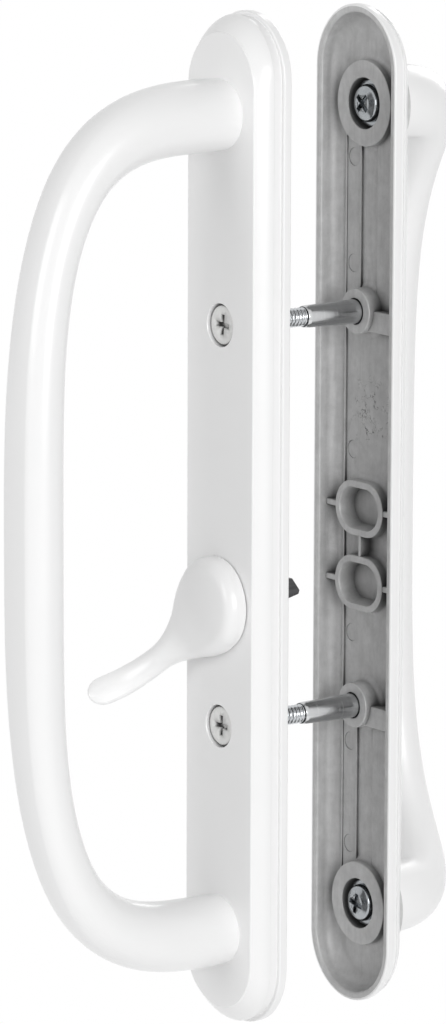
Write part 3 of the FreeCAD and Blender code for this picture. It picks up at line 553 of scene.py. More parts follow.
# Outside plate. The same casting, shallower, seen from its hollow side: bosses for the posts
# with a gusset to one wall, two wells tied by a rib, a strip with thin ridges, low ledges and
# the round marks of the ejector pins, all in bare zinc.
low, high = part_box("outside_plate")
OUTSIDE_RIM = low.y
OUTSIDE_DEPTH = high.y - low.y
OUTSIDE_FLOOR = OUTSIDE_DEPTH - FRONT_WALL
POST_BOSS_RADIUS = 5.7 * MM
POST_BORE_RADIUS = 3.2 * MM
POST_SEAT = 5.2 * MM
GUSSET_HEIGHT = 5.4 * MM
GUSSET_DROP = 2.2 * MM
GUSSET_RECESS = 1.8 * MM
WELL_HALF_WIDTH = 9.6 * MM
WELL_HALF_HEIGHT = 6.95 * MM
WELL_WALL = 1.9 * MM
WELL_TAPER = 0.6 * MM
WELL_RECESS = 2.0 * MM
WELL_FLOOR = 1.2 * MM
RIB_THICKNESS = 0.8 * MM
STRIP_LEFT = -9.7 * MM
STRIP_RIGHT = -3.8 * MM
STRIP_HEIGHT = 0.25 * MM
RIDGE_WIDTH = 0.6 * MM
RIDGE_HEIGHT = 0.6 * MM
LEDGE_LEFT = 3.4 * MM
LEDGE_RIGHT = 12.6 * MM
LEDGE_HEIGHT = 1.0 * MM
PIN_MARK_RADIUS = 2.25 * MM
PIN_MARK_DEPTH = 0.2 * MM
PIN_MARK_HEIGHTS = tuple(h * MM for h in (87.6, 61.0, 13.9, -32.95, -61.0, -87.6))


def floor_block(x0, x1, z0, z1, height, soft=0.15 * MM):
    """A low block on the outside plate's floor."""
    floor_y = OUTSIDE_RIM + OUTSIDE_FLOOR
    return block((x0, floor_y - height, z0), (x1, floor_y + FRONT_WALL / 4, z1), soft)


profile, turned_at = plate_profile(OUTSIDE_DEPTH, land_inset=4.3 * MM, cove_inset=0.7 * MM,
                                   cove_foot=3.6 * MM, cove_bulge=0.55 * MM, flange=2.0 * MM)
outside_plate = as_object("outside_plate_casting", swept(
    profile, (0, OUTSIDE_RIM, 0), 1, (0, PLATE_TURN), bare_from=turned_at), enamel, casting)
raised, cuts = pull_seats(OUTSIDE_RIM, 1, OUTSIDE_FLOOR)
end = PULL_HEIGHT - PULL_BOSS_RADIUS / 2
raised.append(floor_block(STRIP_LEFT - RIDGE_WIDTH / 2, STRIP_LEFT + RIDGE_WIDTH / 2, -end, end,
                          RIDGE_HEIGHT))
for sign in (1, -1):
    z0, z1 = sorted((sign * POST_HEIGHT, sign * end))
    raised.append(floor_block(STRIP_LEFT, STRIP_RIGHT, z0, z1, STRIP_HEIGHT, soft=0))
    raised.append(floor_block(STRIP_RIGHT - RIDGE_WIDTH / 2, STRIP_RIGHT + RIDGE_WIDTH / 2, z0, z1,
                              RIDGE_HEIGHT))
    raised.append(floor_block(LEDGE_LEFT, LEDGE_RIGHT, z0, z1, LEDGE_HEIGHT, soft=0.3 * MM))
    seat = (0, OUTSIDE_RIM, sign * POST_HEIGHT)
    raised.append(boss(seat, 1, POST_BOSS_RADIUS, POST_BOSS_RECESS, OUTSIDE_FLOOR))
    raised.append(web(0, sign * POST_HEIGHT - GUSSET_DROP, GUSSET_HEIGHT, OUTSIDE_RIM, 1,
                      GUSSET_RECESS, OUTSIDE_FLOOR))
    cuts.append(bore(seat, 1, POST_BORE_RADIUS, POST_BOSS_RECESS, POST_SEAT))
near_rib = OUTSIDE_RIM + WEB_RECESS
raised.append(block((-RIB_THICKNESS / 2, near_rib, -LATCH_DROP),
                    (RIB_THICKNESS / 2, OUTSIDE_RIM + OUTSIDE_FLOOR + FRONT_WALL / 3, 0), 0.2 * MM))
for z in (0, -LATCH_DROP):
    seat, spine = (0, OUTSIDE_RIM, z), (WELL_HALF_WIDTH - WELL_HALF_HEIGHT, 0)
    raised.append(boss(seat, 1, WELL_HALF_HEIGHT, WELL_RECESS, OUTSIDE_FLOOR, spine))
    raised.append(web(-1, z, WEB_THICKNESS, OUTSIDE_RIM, 1, WEB_RECESS, OUTSIDE_FLOOR))
    cuts.append(bore(seat, 1, WELL_HALF_HEIGHT - WELL_WALL, WELL_RECESS, OUTSIDE_DEPTH - WELL_FLOOR,
                     mouth=0.5 * MM, taper=WELL_TAPER, spine=spine))
for z in PIN_MARK_HEIGHTS:
    face_at = OUTSIDE_FLOOR - (STRIP_HEIGHT if abs(z) > POST_HEIGHT else 0)
    cuts.append(bore(((STRIP_LEFT + STRIP_RIGHT) / 2, OUTSIDE_RIM, z), 1, PIN_MARK_RADIUS,
                     face_at, face_at + PIN_MARK_DEPTH, mouth=0.08 * MM))
cast(outside_plate, raised, cuts)
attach(outside_plate, "handle_set")
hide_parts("outside_plate")


# Pulls. Each is a zinc casting in the same enamel. Its centre line is a superellipse that
# leaves the plate square, and the outside one bows to one side. The section starts as a round
# leg, draws in to a neck and swells into a grip with a crease each side of its outer face.
STATION_COUNT = 200
NECK_STATION = 60
CROWN_STEPS = 24
SECTIONS = {
    # half width, back, crease, crown and side radius, in mm
    "leg": (9.3, 9.0, 7.7, 1.15, 8.7),
    "neck": (7.55, 5.8, 5.1, 0.4, 5.45),
    "grip": (8.2, 6.1, 5.45, 0.2, 5.8),
}
CREASE_SOFTNESS = 0.35 * MM
FOOT_SOFTNESS = 0.3 * MM


def section_outline(half_width, back, crease, crown, side_radius):
    """Points round a section: its crowned outer face, one side, the round back, the other."""
    centre = half_width - side_radius
    back_radius = (centre ** 2 + back ** 2 - side_radius ** 2) / (2 * (back - side_radius))
    corner = centre + math.sqrt(side_radius ** 2 - crease ** 2)
    crown_radius = (corner ** 2 + crown ** 2) / (2 * crown)
    crown_half = math.asin(corner / crown_radius)
    crease_at = math.asin(crease / side_radius)
    back_half = math.atan2(centre, back_radius - back)
    upwards, downwards = math.pi / 2, -math.pi / 2
    outer_face = arc(0, crease + crown - crown_radius, crown_radius,
                     upwards + crown_half, upwards - crown_half, CROWN_STEPS)
    right_side = arc(centre, 0, side_radius, crease_at, downwards + back_half, 14)[1:-1]
    round_back = arc(0, back_radius - back, back_radius, downwards + back_half,
                     downwards - back_half, 20)
    left_side = [Vector((-p.x, p.y)) for p in reversed(right_side)]
    return outer_face + right_side + round_back + left_side


def soft_creases(points, softness):
    """Draw the two creases in a little, so that they catch light as a fillet does."""
    drawn = list(points)
    for corner in (0, CROWN_STEPS):
        before, after = points[corner - 1], points[(corner + 1) % len(points)]
        middle = (before + after) / 2
        inwards = middle - points[corner]
        if inwards.length:
            drawn[corner] = points[corner] + inwards.normalized() * min(softness / 3, inwards.length)
    return drawn


def smooth(share):
    """A share from 0 to 1 that starts and ends gently."""
    share = min(max(share, 0), 1)
    return share * share * (3 - 2 * share)


def start_rule(name, inputs):
    """A new Geometry Nodes tree with named inputs. It takes geometry in and gives geometry out."""
    tree = bpy.data.node_groups.new(name, "GeometryNodeTree")
    tree.interface.new_socket(name="Geometry", in_out="OUTPUT", socket_type="NodeSocketGeometry")
    for socket, kind in {"Geometry": "Geometry", **inputs}.items():
        tree.interface.new_socket(name=socket, in_out="INPUT", socket_type=f"NodeSocket{kind}")
    return tree, add(tree, "NodeGroupInput").outputs


def pull_tree():
    """The rule of a pull: where each point of its section stands along the superellipse."""
    tree, given = start_rule("pull_on_superellipse", {
        "Half Spacing": "Float", "Reach": "Float", "Sharpness": "Float", "Bow": "Float",
        "Foot": "Float", "Outward": "Float", "Finish": "Material"})
    station = add(tree, "GeometryNodeInputNamedAttribute", {"Name": "station"}, data_type="FLOAT")
    section = add(tree, "GeometryNodeInputNamedAttribute", {"Name": "section"},
                  data_type="FLOAT_VECTOR")
    across = add(tree, "ShaderNodeSeparateXYZ", {0: section}).outputs
    made = {socket.name: socket for socket in given if socket.name}
    made["station"] = station
    steps = (
        # name of the result, what is done, and with what
        ("power", "DIVIDE", 2.0, "Sharpness"),
        ("cosine", "COSINE", "station"),
        ("sine", "SINE", "station"),
        ("half", "SIGN", "cosine"),
        ("level", "ABSOLUTE", "cosine"),
        ("rise", "POWER", "level", "power"),
        ("out", "POWER", "sine", "power"),
        ("rise 3", "POWER", "rise", 3.0),
        ("rise 4", "POWER", "rise", 4.0),
        ("bowed", "SUBTRACT", "rise 4", 1.0),
        ("x", "MULTIPLY", "bowed", "Bow"),
        ("reached", "MULTIPLY_ADD", "out", "Reach", "Foot"),
        ("y", "MULTIPLY", "reached", "Outward"),
        ("height", "MULTIPLY", "rise", "Half Spacing"),
        ("z", "MULTIPLY", "height", "half"),
        # how far the line drifts across for each millimetre that it rises
        ("drift", "DIVIDE", "rise 3", "Half Spacing"),
        ("drift across", "MULTIPLY", "drift", "Bow"),
        ("signed drift", "MULTIPLY", "drift across", 4.0),
        ("sideways", "MULTIPLY", "signed drift", "half"),
        # the tangent from one foot to the other
        ("slope power", "SUBTRACT", 2.0, "power"),
        ("fall", "POWER", "sine", "slope power"),
        ("run", "POWER", "level", "slope power"),
        ("down", "MULTIPLY", "fall", "Half Spacing"),
        ("tangent z", "MULTIPLY", "down", -1.0),
        ("tangent x", "MULTIPLY", "tangent z", "sideways"),
        ("forth", "MULTIPLY", "run", "Reach"),
        ("forth or back", "MULTIPLY", "forth", "half"),
        ("tangent y", "MULTIPLY", "forth or back", "Outward"),
        ("across z", "MULTIPLY", "sideways", -1.0),
        ("facing", "MULTIPLY", "Outward", -1.0),
    )
    for name, operation, *sources in steps:
        made[name] = add(tree, "ShaderNodeMath", {
            i: made.get(source, source) for i, source in enumerate(sources)}, operation=operation)
    tangent = add(tree, "ShaderNodeCombineXYZ", {
        0: made["tangent x"], 1: made["tangent y"], 2: made["tangent z"]})
    width = add(tree, "ShaderNodeCombineXYZ", {0: 1.0, 2: made["across z"]})
    width = add(tree, "ShaderNodeVectorMath", {0: width}, operation="NORMALIZE")
    outer = add(tree, "ShaderNodeVectorMath", {
        0: tangent, 1: width}, operation="CROSS_PRODUCT")
    outer = add(tree, "ShaderNodeVectorMath", {0: outer}, operation="NORMALIZE")
    outer = add(tree, "ShaderNodeVectorMath", {
        0: outer, "Scale": made["facing"]}, operation="SCALE")
    line = add(tree, "ShaderNodeCombineXYZ", {0: made["x"], 1: made["y"], 2: made["z"]})
    stepped = add(tree, "ShaderNodeVectorMath", {
        0: width, "Scale": across[0]}, operation="SCALE")
    lifted = add(tree, "ShaderNodeVectorMath", {
        0: outer, "Scale": across[1]}, operation="SCALE")
    point = add(tree, "ShaderNodeVectorMath", {0: line, 1: stepped})
    point = add(tree, "ShaderNodeVectorMath", {0: point, 1: lifted})
    placed = add(tree, "GeometryNodeSetPosition", {
        "Geometry": given["Geometry"], "Position": point})
    real = add(tree, "GeometryNodeRealizeInstances", {0: placed})
    painted = add(tree, "GeometryNodeSetMaterial", {
        "Geometry": real, "Material": given["Finish"]})
    add(tree, "NodeGroupOutput", {0: painted})
    return tree


def grow(piece, tree, sizes):
    """Give a piece its node tree and named inputs, and turn the result into a plain mesh."""
    modifier = piece.modifiers.new(tree.name, "NODES")
    modifier.node_group = tree
    for socket in tree.interface.items_tree:
        if socket.in_out == "INPUT" and socket.name in sizes:
            modifier[socket.identifier] = sizes[socket.name]
    settle(piece)


def section_tube():
    """A tube of stations and section points, before the rule sets it in place."""
    outlines = {name: soft_creases(section_outline(*(s * MM for s in sizes)), CREASE_SOFTNESS)
                for name, sizes in SECTIONS.items()}
    mesh = bmesh.new()
    station_of = mesh.verts.layers.float.new("station")
    section_of = mesh.verts.layers.float_vector.new("section")
    rings = []
    for i in range(STATION_COUNT + 1):
        angle = 180 * i / STATION_COUNT
        nearer = min(angle, 180 - angle)
        to_neck = smooth(nearer / NECK_STATION)
        to_grip = smooth(max(nearer - NECK_STATION, 0) ** 1.3 / (90 - NECK_STATION) ** 1.3)
        ring = []
        for leg, neck, grip in zip(outlines["leg"], outlines["neck"], outlines["grip"]):
            flat = leg.lerp(neck, to_neck).lerp(grip, to_grip)
            if i in (0, STATION_COUNT):
                flat = flat * (1 - FOOT_SOFTNESS / flat.length)
            vertex = mesh.verts.new((flat.x, flat.y, i * MM))
            vertex[station_of] = math.radians(angle)
            vertex[section_of] = (flat.x, flat.y, 0)
            ring.append(vertex)
        rings.append(ring)
    skin(mesh, rings, caps=True)
    return mesh


PULLS = {
    # reach, sharpness of the superellipse, bow to one side, the foot's place and which way is out
    "inside_pull": (55.0 * MM, 3.35, 0.0, INSIDE_DEPTH, -1.0),
    "outside_pull": (24.4 * MM, 4.8, 27.5 * MM, OUTSIDE_RIM + OUTSIDE_DEPTH, 1.0),
}
pull_rule = pull_tree()
for node, sizes in PULLS.items():
    pull = as_object(f"{node}_casting", section_tube())
    grow(pull, pull_rule, {
        "Half Spacing": PULL_HEIGHT, "Finish": enamel,
        **dict(zip(("Reach", "Sharpness", "Bow", "Foot", "Outward"), sizes))})
    outwards = bmesh.new()
    outwards.from_mesh(pull.data)
    bmesh.ops.recalc_face_normals(outwards, faces=outwards.faces)
    outwards.to_mesh(pull.data)
    outwards.free()
    shade(pull, crease=40)
    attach(pull, "handle_set")
    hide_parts(node)


# Fasteners. Phillips screws of zinc-plated steel, with washers, hold each pull to its plate
# from behind. Two longer screws with white painted heads run through the inside plate into
# threaded posts of bright turned steel, which are pressed into the outside plate's bosses.
SHANK_RADIUS = 2.4 * MM
CROSS_HALF = 2.6 * MM
CROSS_ARM = 0.62 * MM
CROSS_DEPTH = 1.3 * MM
CROSS_TAPER = 0.14
PAN_RADIUS = 4.7 * MM
PAN_HEIGHT = 2.5 * MM
PULL_SCREW_LENGTH = 12.7 * MM
WASHER_RADIUS = 5.8 * MM
WASHER_THICKNESS = 0.8 * MM
HEAD_RADIUS = 5.0 * MM
HEAD_HEIGHT = 2.4 * MM
HEAD_RECESS = 0.8 * MM
THREAD_PITCH = 1.06 * MM
THREAD_DEPTH = 0.38 * MM
MOUNTING_TIP = 20.2 * MM
POST_TIP = 15.7 * MM
POST_TIP_RADIUS = 2.8 * MM
POST_ROOT_RADIUS = 3.075 * MM
POST_HOLE_RADIUS = 2.52 * MM
SCREW_TURNS = (0.35, 1.1, 0.75, 0.2)


def turned(chain, centre=(0, 0, 0), out=-1, steps=32):
    """A turned piece whose axis lies along Y, from a chain of rounded corners."""
    return swept([(p.x, p.y, 0) for p in rounded(chain, steps=3)], centre, out, steps=steps)


def cross_cutter(face):
    """A cutter for the Phillips recess, sunk from a face and drawn in towards its floor."""
    mesh = bmesh.new()
    rings = []
    for distance, grow_by in ((face + 0.3 * MM, 1.0 + 0.3 * MM / CROSS_DEPTH * CROSS_TAPER),
                              (face - CROSS_DEPTH, 1.0 - CROSS_TAPER)):
        half, arm = CROSS_HALF * grow_by, CROSS_ARM * (0.4 + 0.6 * grow_by)
        corners = complex(half, -arm), complex(half, arm), complex(arm, arm)
        outline = [corner * 1j ** quarter for quarter in range(4) for corner in corners]
        rings.append([mesh.verts.new((p.real, -distance, p.imag)) for p in outline])
    skin(mesh, rings, caps=True)
    return mesh


def threaded_shank(start, end):
    """A shank along Y from one distance to another, with a helical thread cut in it."""
    mesh = bmesh.new()
    steps, rows_each_turn = 32, 8
    rows = int((end - start) / THREAD_PITCH * rows_each_turn)
    rings = []
    for i in range(rows + 1):
        along = start + (end - start) * i / rows
        fade = min(1, (along - start) / THREAD_PITCH, (end - along) / THREAD_PITCH)
        ring = []
        for k in range(steps):
            angle = 2 * math.pi * k / steps
            phase = (along / THREAD_PITCH - k / steps) % 1
            groove = min(1, max(0, 2.6 * abs(phase - 0.5) - 0.15))
            reach = SHANK_RADIUS - THREAD_DEPTH * (groove * fade + 1 - fade)
            ring.append(mesh.verts.new((reach * math.cos(angle), along, reach * math.sin(angle))))
        rings.append(ring)
    skin(mesh, rings, caps=True)
    return mesh


def seat_tree():
    """Sets one fastener on each of its seats and gives its head and its shank their finish."""
    tree, given = start_rule("fastener_on_each_seat", {
        "Fastener": "Object", "Head Finish": "Material", "Shank Finish": "Material"})
    turn = add(tree, "GeometryNodeInputNamedAttribute", {"Name": "turn"}, data_type="FLOAT_VECTOR")
    shank = add(tree, "GeometryNodeInputNamedAttribute", {"Name": "shank"}, data_type="BOOLEAN")
    fastener = add(tree, "GeometryNodeObjectInfo", {"Object": given["Fastener"]})
    euler = add(tree, "FunctionNodeEulerToRotation", {0: turn})
    set_in = add(tree, "GeometryNodeInstanceOnPoints", {
        "Points": given["Geometry"], "Instance": fastener.outputs["Geometry"],
        "Rotation": euler})
    real = add(tree, "GeometryNodeRealizeInstances", {0: set_in})
    heads = add(tree, "GeometryNodeSetMaterial", {
        "Geometry": real, "Material": given["Head Finish"]})
    shanks = add(tree, "GeometryNodeSetMaterial", {
        "Geometry": heads, "Selection": shank,
        "Material": given["Shank Finish"]})
    add(tree, "NodeGroupOutput", {0: shanks})
    return tree


def join_shank(head, shank):
    """Join a shank to a fastener's head, with its faces marked for a finish of their own."""
    joined = bmesh.new()
    joined.from_mesh(head.data)
    count = len(joined.faces)
    carried = bpy.data.meshes.new("shank")
    shank.to_mesh(carried)
    shank.free()
    joined.from_mesh(carried)
    marked = joined.faces.layers.bool.new("shank")
    for i, face in enumerate(joined.faces):
        face[marked] = i >= count
    joined.to_mesh(head.data)
    joined.free()


def set_on_seats(name, pattern, seats, head_finish, shank_finish, nodes):
    """One piece made of a fastener repeated at its seats, each turned its own way."""
    points = bmesh.new()
    turn_of = points.verts.layers.float_vector.new("turn")
    for place, roll, away in seats:
        vertex = points.verts.new(place)
        vertex[turn_of] = (0, roll, math.pi if away else 0)
    piece = as_object(name, points)
    grow(piece, seats_rule, {
        "Fastener": pattern, "Head Finish": head_finish, "Shank Finish": shank_finish})
    bpy.data.objects.remove(pattern)
    shade(piece)
    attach(piece, "handle_set")
    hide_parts(*nodes)


def zinc_plate(name, dark, light):
    """Bright zinc plate: a clear silver metal with a slight blue cast and fine wear marks."""
    material, tree, shader, place = start_finish(name, light, 0.24, 1.0)
    marks = add(tree, "ShaderNodeTexNoise", {
        "Vector": place, "Scale": 1 / (0.8 * MM), "Detail": 4.0, "Roughness": 0.7})
    gloss = add(tree, "ShaderNodeMapRange", {
        "Value": marks, "From Min": 0.3, "From Max": 0.7,
        "To Min": 0.12, "To Max": 0.3})
    tint = add(tree, "ShaderNodeMix", {
        0: marks, 6: linear(dark), 7: linear(light)}, data_type="RGBA")
    # painted shade: the cross recess and tight corners darken towards #4A4B4D
    crevice_ao = add(tree, "ShaderNodeAmbientOcclusion", {"Distance": 0.8 * MM}, samples=8)
    painted_shade_mask = add(tree, "ShaderNodeMapRange", {
        "Value": crevice_ao.outputs["AO"], "From Min": 0.2, "From Max": 0.7})
    colour = add(tree, "ShaderNodeMix", {
        0: painted_shade_mask, 6: linear("#4A4B4D"), 7: tint}, data_type="RGBA")
    feed(tree, shader, {"Roughness": gloss, "Base Color": colour})
    return material


def turned_steel():
    """Turned steel: bright, with the lathe tool's fine rings round it that stretch highlights."""
    material, tree, shader, place = start_finish("bright_turned_steel", "#B9BABC", 0.26, 1.0)
    rings = add(tree, "ShaderNodeMapping", {"Vector": place, "Scale": (0.02, 1.0, 0.02)})
    tool = add(tree, "ShaderNodeTexNoise", {
        "Vector": rings, "Scale": 1 / (0.22 * MM), "Detail": 3.0, "Roughness": 0.7})
    gloss = add(tree, "ShaderNodeMapRange", {
        "Value": tool, "From Min": 0.3, "From Max": 0.7,
        "To Min": 0.16, "To Max": 0.28})
    tint = add(tree, "ShaderNodeMix", {
        0: tool, 6: linear("#BCBDBE"), 7: linear("#D2D3D4")}, data_type="RGBA")
    relief = add(tree, "ShaderNodeBump", {
        "Height": tool, "Strength": 0.2, "Distance": 0.003 * MM})
    feed(tree, shader, {"Roughness": gloss, "Base Color": tint, "Normal": relief})
    return material


def screw_paint():
    """White paint on a steel head: a touch greyer than the plate, with painted shade in its recess."""
    material, tree, shader, place = start_finish("white_screw_paint", "#EDEDEC", 0.34)
    # painted shade: the cross recess darkens towards #484848
    crevice_ao = add(tree, "ShaderNodeAmbientOcclusion", {"Distance": 1.6 * MM}, samples=8)
    recess_painted_shade = add(tree, "ShaderNodeMapRange", {
        "Value": crevice_ao.outputs["AO"], "From Min": 0.45, "From Max": 0.84})
    speckle = add(tree, "ShaderNodeTexNoise", {
        "Vector": place, "Scale": 1 / (0.7 * MM), "Detail": 3.0})
    tint = add(tree, "ShaderNodeMix", {
        0: speckle, 6: linear("#E2E2E0"), 7: linear("#F2F2F1")}, data_type="RGBA")
    colour = add(tree, "ShaderNodeMix", {
        0: recess_painted_shade, 6: linear("#484848"), 7: tint}, data_type="RGBA")
    feed(tree, shader, {"Base Color": colour})
    return material


seats_rule = seat_tree()
# two copies of one zinc plate: the darker one is painted shade for the pull screws in their wells, the
# paler one is painted light on the mounting screws' threads
zinc = zinc_plate("bright_zinc_plate", "#8A8E91", "#B0B3B6")
lit_thread_zinc = zinc_plate("pale_zinc_plate", "#B4B7BA", "#D6D8DA")
steel, paint = turned_steel(), screw_paint()
inside_head = -(inside_floor - WASHER_THICKNESS)
outside_head = OUTSIDE_RIM + OUTSIDE_FLOOR - WASHER_THICKNESS
pull_seats_at = [(0, inside_head, PULL_HEIGHT), (0, inside_head, -PULL_HEIGHT),
                 (0, outside_head, PULL_HEIGHT), (0, outside_head, -PULL_HEIGHT)]

pan_head = as_object("pull_screw", turned([
    (0, PAN_HEIGHT, 0), (PAN_RADIUS * 0.56, PAN_HEIGHT, 0.8 * MM),
    (PAN_RADIUS * 0.92, PAN_HEIGHT * 0.72, 0.9 * MM), (PAN_RADIUS, PAN_HEIGHT * 0.3, 0.5 * MM),
    (PAN_RADIUS, 0, 0.12 * MM), (SHANK_RADIUS, 0, 0), (SHANK_RADIUS, -PULL_SCREW_LENGTH, 0.5 * MM),
    (0, -PULL_SCREW_LENGTH, 0)]))
cast(pan_head, [], [cross_cutter(PAN_HEIGHT)])
set_on_seats("pull_screws", pan_head,
             [(at, turn, i < 2) for i, (at, turn) in enumerate(zip(pull_seats_at, SCREW_TURNS))],
             zinc, zinc,
             [f"{side}_pull_screw_{end}" for side in ("inside", "outside") for end in ("upper", "lower")])

flat_ring = as_object("washer", turned([
    (WASHER_RADIUS, 0, 0.12 * MM), (WASHER_RADIUS, -WASHER_THICKNESS, 0.2 * MM),
    (CLEARANCE_HOLE_RADIUS, -WASHER_THICKNESS, 0.1 * MM), (CLEARANCE_HOLE_RADIUS, 0, 0.1 * MM),
    (WASHER_RADIUS - 0.6 * MM, 0, 0)]))
set_on_seats("pull_washers", flat_ring, [(at, 0, i < 2) for i, at in enumerate(pull_seats_at)],
             zinc, zinc,
             [f"{side}_pull_washer_{end}" for side in ("inside", "outside") for end in ("upper", "lower")])

under_head = INSIDE_DEPTH - HEAD_RECESS - HEAD_HEIGHT
mounting_screw = as_object("mounting_screw", turned([
    (0, HEAD_HEIGHT, 0), (HEAD_RADIUS - MM, HEAD_HEIGHT, 0), (HEAD_RADIUS, HEAD_HEIGHT, 0.4 * MM),
    (HEAD_RADIUS, 0, 0.1 * MM), (0, 0, 0)]))
cast(mounting_screw, [], [cross_cutter(HEAD_HEIGHT)])
join_shank(mounting_screw, threaded_shank(-0.5 * MM, under_head + MOUNTING_TIP))
set_on_seats("mounting_screws", mounting_screw,
             [((0, -under_head, POST_HEIGHT), 0.08, False), ((0, -under_head, -POST_HEIGHT), 0.02, False)],
             paint, lit_thread_zinc, ["mounting_screw_upper", "mounting_screw_lower"])

post_end = OUTSIDE_RIM + POST_SEAT - POST_TIP
hole_end = MOUNTING_TIP - POST_TIP + 2 * MM
post = as_object("threaded_post", turned([
    (0, hole_end + MM, 0), (POST_HOLE_RADIUS, hole_end, 0), (POST_HOLE_RADIUS, 0, 0.12 * MM),
    (POST_TIP_RADIUS - 0.15 * MM, 0, 0.12 * MM), (POST_TIP_RADIUS, 0.9 * MM, 0.4 * MM),
    (POST_ROOT_RADIUS, post_end - POST_SEAT, 2.0 * MM), (POST_ROOT_RADIUS, post_end, 0.15 * MM),
    (0, post_end, 0)], out=1))
set_on_seats("threaded_posts", post,
             [((0, POST_TIP, POST_HEIGHT), 0, False), ((0, POST_TIP, -POST_HEIGHT), 0, False)],
             steel, steel, ["threaded_post_upper", "threaded_post_lower"])


# Latch lever. One enamelled casting: a round crowned head on the hub that runs in the plate,
# and an arm that draws in to a stem and curls out to a thin thumb piece. It stands at 45
# degrees while the latch is at rest.
LEVER_BACK = INSIDE_DEPTH + 0.25 * MM
LEVER_REST = math.radians(45)
HEAD_HALF, HEAD_SIDE, HEAD_ROUND, HEAD_TOP = 11.8 * MM, 1.9 * MM, 3.5 * MM, 6.1 * MM
LEVER_DROP = 36.2 * MM
LEVER_RISE = 21.0 * MM
LEVER_SOFTNESS = 0.35 * MM
TIP_ROUND = 4.2 * MM
HUB_RADIUS = 6.0 * MM
HUB_END = 1.2 * MM
CLIP_GROOVE = 0.9 * MM
CLIP_NEAR, CLIP_FAR = 2.7 * MM, 3.5 * MM
BLADE_HALF = 4.0 * MM
BLADE_HALF_THICKNESS = 1.2 * MM
SOCKET_DEPTH = 6.0 * MM
SOCKET_PLAY = 0.12 * MM
LEVER_STATIONS = (
    # shares of the drop and the rise, lean in degrees, shares of half width, side, round, top
    (0.0, 0.0, 0, 1.0, 1.0, 1.0, 1.0),
    (0.11, 0.0, 0, 0.955, 1.0, 1.0, 1.0),
    (0.249, 0.029, 9, 0.80, 0.906, 0.909, 0.967),
    (0.373, 0.09, 19, 0.57, 0.719, 0.727, 0.836),
    (0.539, 0.219, 25, 0.33, 0.438, 0.545, 0.656),
    (0.718, 0.381, 33, 0.30, 0.281, 0.455, 0.508),
    (0.87, 0.61, 49, 0.32, 0.219, 0.364, 0.393),
    (0.956, 0.848, 60, 0.32, 0.188, 0.273, 0.328),
    (1.0, 1.0, 64, 0.31, 0.125, 0.182, 0.25),
)


def lever_half(half, side, corner, top):
    """Half of a lever section, from the middle of its crown round to the middle of its back."""
    width, rise = half - corner, top - side
    crown = (width ** 2 + rise ** 2 - corner ** 2) / (2 * (rise - corner))
    join = math.atan2(crown - rise, width)
    soft = min(LEVER_SOFTNESS, side / 2)
    return (arc(0, top - crown, crown, math.pi / 2, join, 12)
            + arc(width, side, corner, join, 0, 8)[1:]
            + arc(half - soft, soft, soft, 0, -math.pi / 2, 4) + [Vector((0, 0))])


def between(stations, knots, place):
    """The values at a place between stations, on a smooth curve through them."""
    i = max(k for k in range(len(knots) - 1) if knots[k] <= place + 1e-12)
    span = knots[i + 1] - knots[i]
    share = (place - knots[i]) / span

    def slope(k, v):
        if k == 0:
            return 0.0
        if k == len(knots) - 1:
            return (stations[k][v] - stations[k - 1][v]) / (knots[k] - knots[k - 1])
        before, after = knots[k] - knots[k - 1], knots[k + 1] - knots[k]
        return ((stations[k][v] - stations[k - 1][v]) / before * after
                + (stations[k + 1][v] - stations[k][v]) / after * before) / (before + after)

    values = []
    for v in range(len(stations[0])):
        values.append((2 * share ** 3 - 3 * share ** 2 + 1) * stations[i][v]
                      + (share ** 3 - 2 * share ** 2 + share) * span * slope(i, v)
                      + (3 * share ** 2 - 2 * share ** 3) * stations[i + 1][v]
                      + (share ** 3 - share ** 2) * span * slope(i + 1, v))
    return values


def lever_mesh():
    """The head's upper half is turned, and the rest follows the stations down to the tip."""
    knots = [0.0]
    for here, after in zip(LEVER_STATIONS, LEVER_STATIONS[1:]):
        knots.append(knots[-1] + math.hypot((after[0] - here[0]) * LEVER_DROP,
                                            (after[1] - here[1]) * LEVER_RISE))
    mesh = bmesh.new()
    head = lever_half(HEAD_HALF, HEAD_SIDE, HEAD_ROUND, HEAD_TOP)
    rays = []
    for k in range(49):
        angle = math.pi * k / 48
        rays.append([mesh.verts.new((x * math.cos(angle), -LEVER_BACK - h, x * math.sin(angle)))
                     for x, h in head])
    skin(mesh, rays, around=False)
    straight = knots[-1] - TIP_ROUND
    places = [straight * k / 88 for k in range(88)]
    places += [straight + TIP_ROUND * math.sin(math.pi / 2 * k / 16) for k in range(16)]
    rings = []
    for place in places:
        down, out, lean, half, side, corner, top = between(LEVER_STATIONS, knots, place)
        outward = Vector((0, -math.cos(math.radians(lean)), math.sin(math.radians(lean))))
        centre = Vector((0, -LEVER_BACK - out * LEVER_RISE, -down * LEVER_DROP))
        points = lever_half(half * HEAD_HALF, side * HEAD_SIDE, corner * HEAD_ROUND, top * HEAD_TOP)
        middle = top * HEAD_TOP / 2
        # the thumb piece ends in a half round, and thins a little on the way
        narrow = math.sqrt(1 - (max(place - straight, 0) / TIP_ROUND) ** 2)
        thin = narrow ** 0.35
        ring = []
        for x, h in [(-x, h) for x, h in reversed(points[1:-1])] + points:
            ring.append(mesh.verts.new(centre + Vector((x * narrow, 0, 0))
                                       + outward * (middle + (h - middle) * thin)))
        rings.append(ring)
    skin(mesh, rings)
    mesh.faces.new(rings[-1])
    bmesh.ops.remove_doubles(mesh, verts=mesh.verts, dist=0.001 * MM)
    bmesh.ops.recalc_face_normals(mesh, faces=mesh.faces)
    bmesh.ops.transform(mesh, verts=mesh.verts, matrix=Matrix.Translation((0, 0, -LATCH_DROP))
                        @ Matrix.Rotation(LEVER_REST, 4, "Y"))
    return mesh


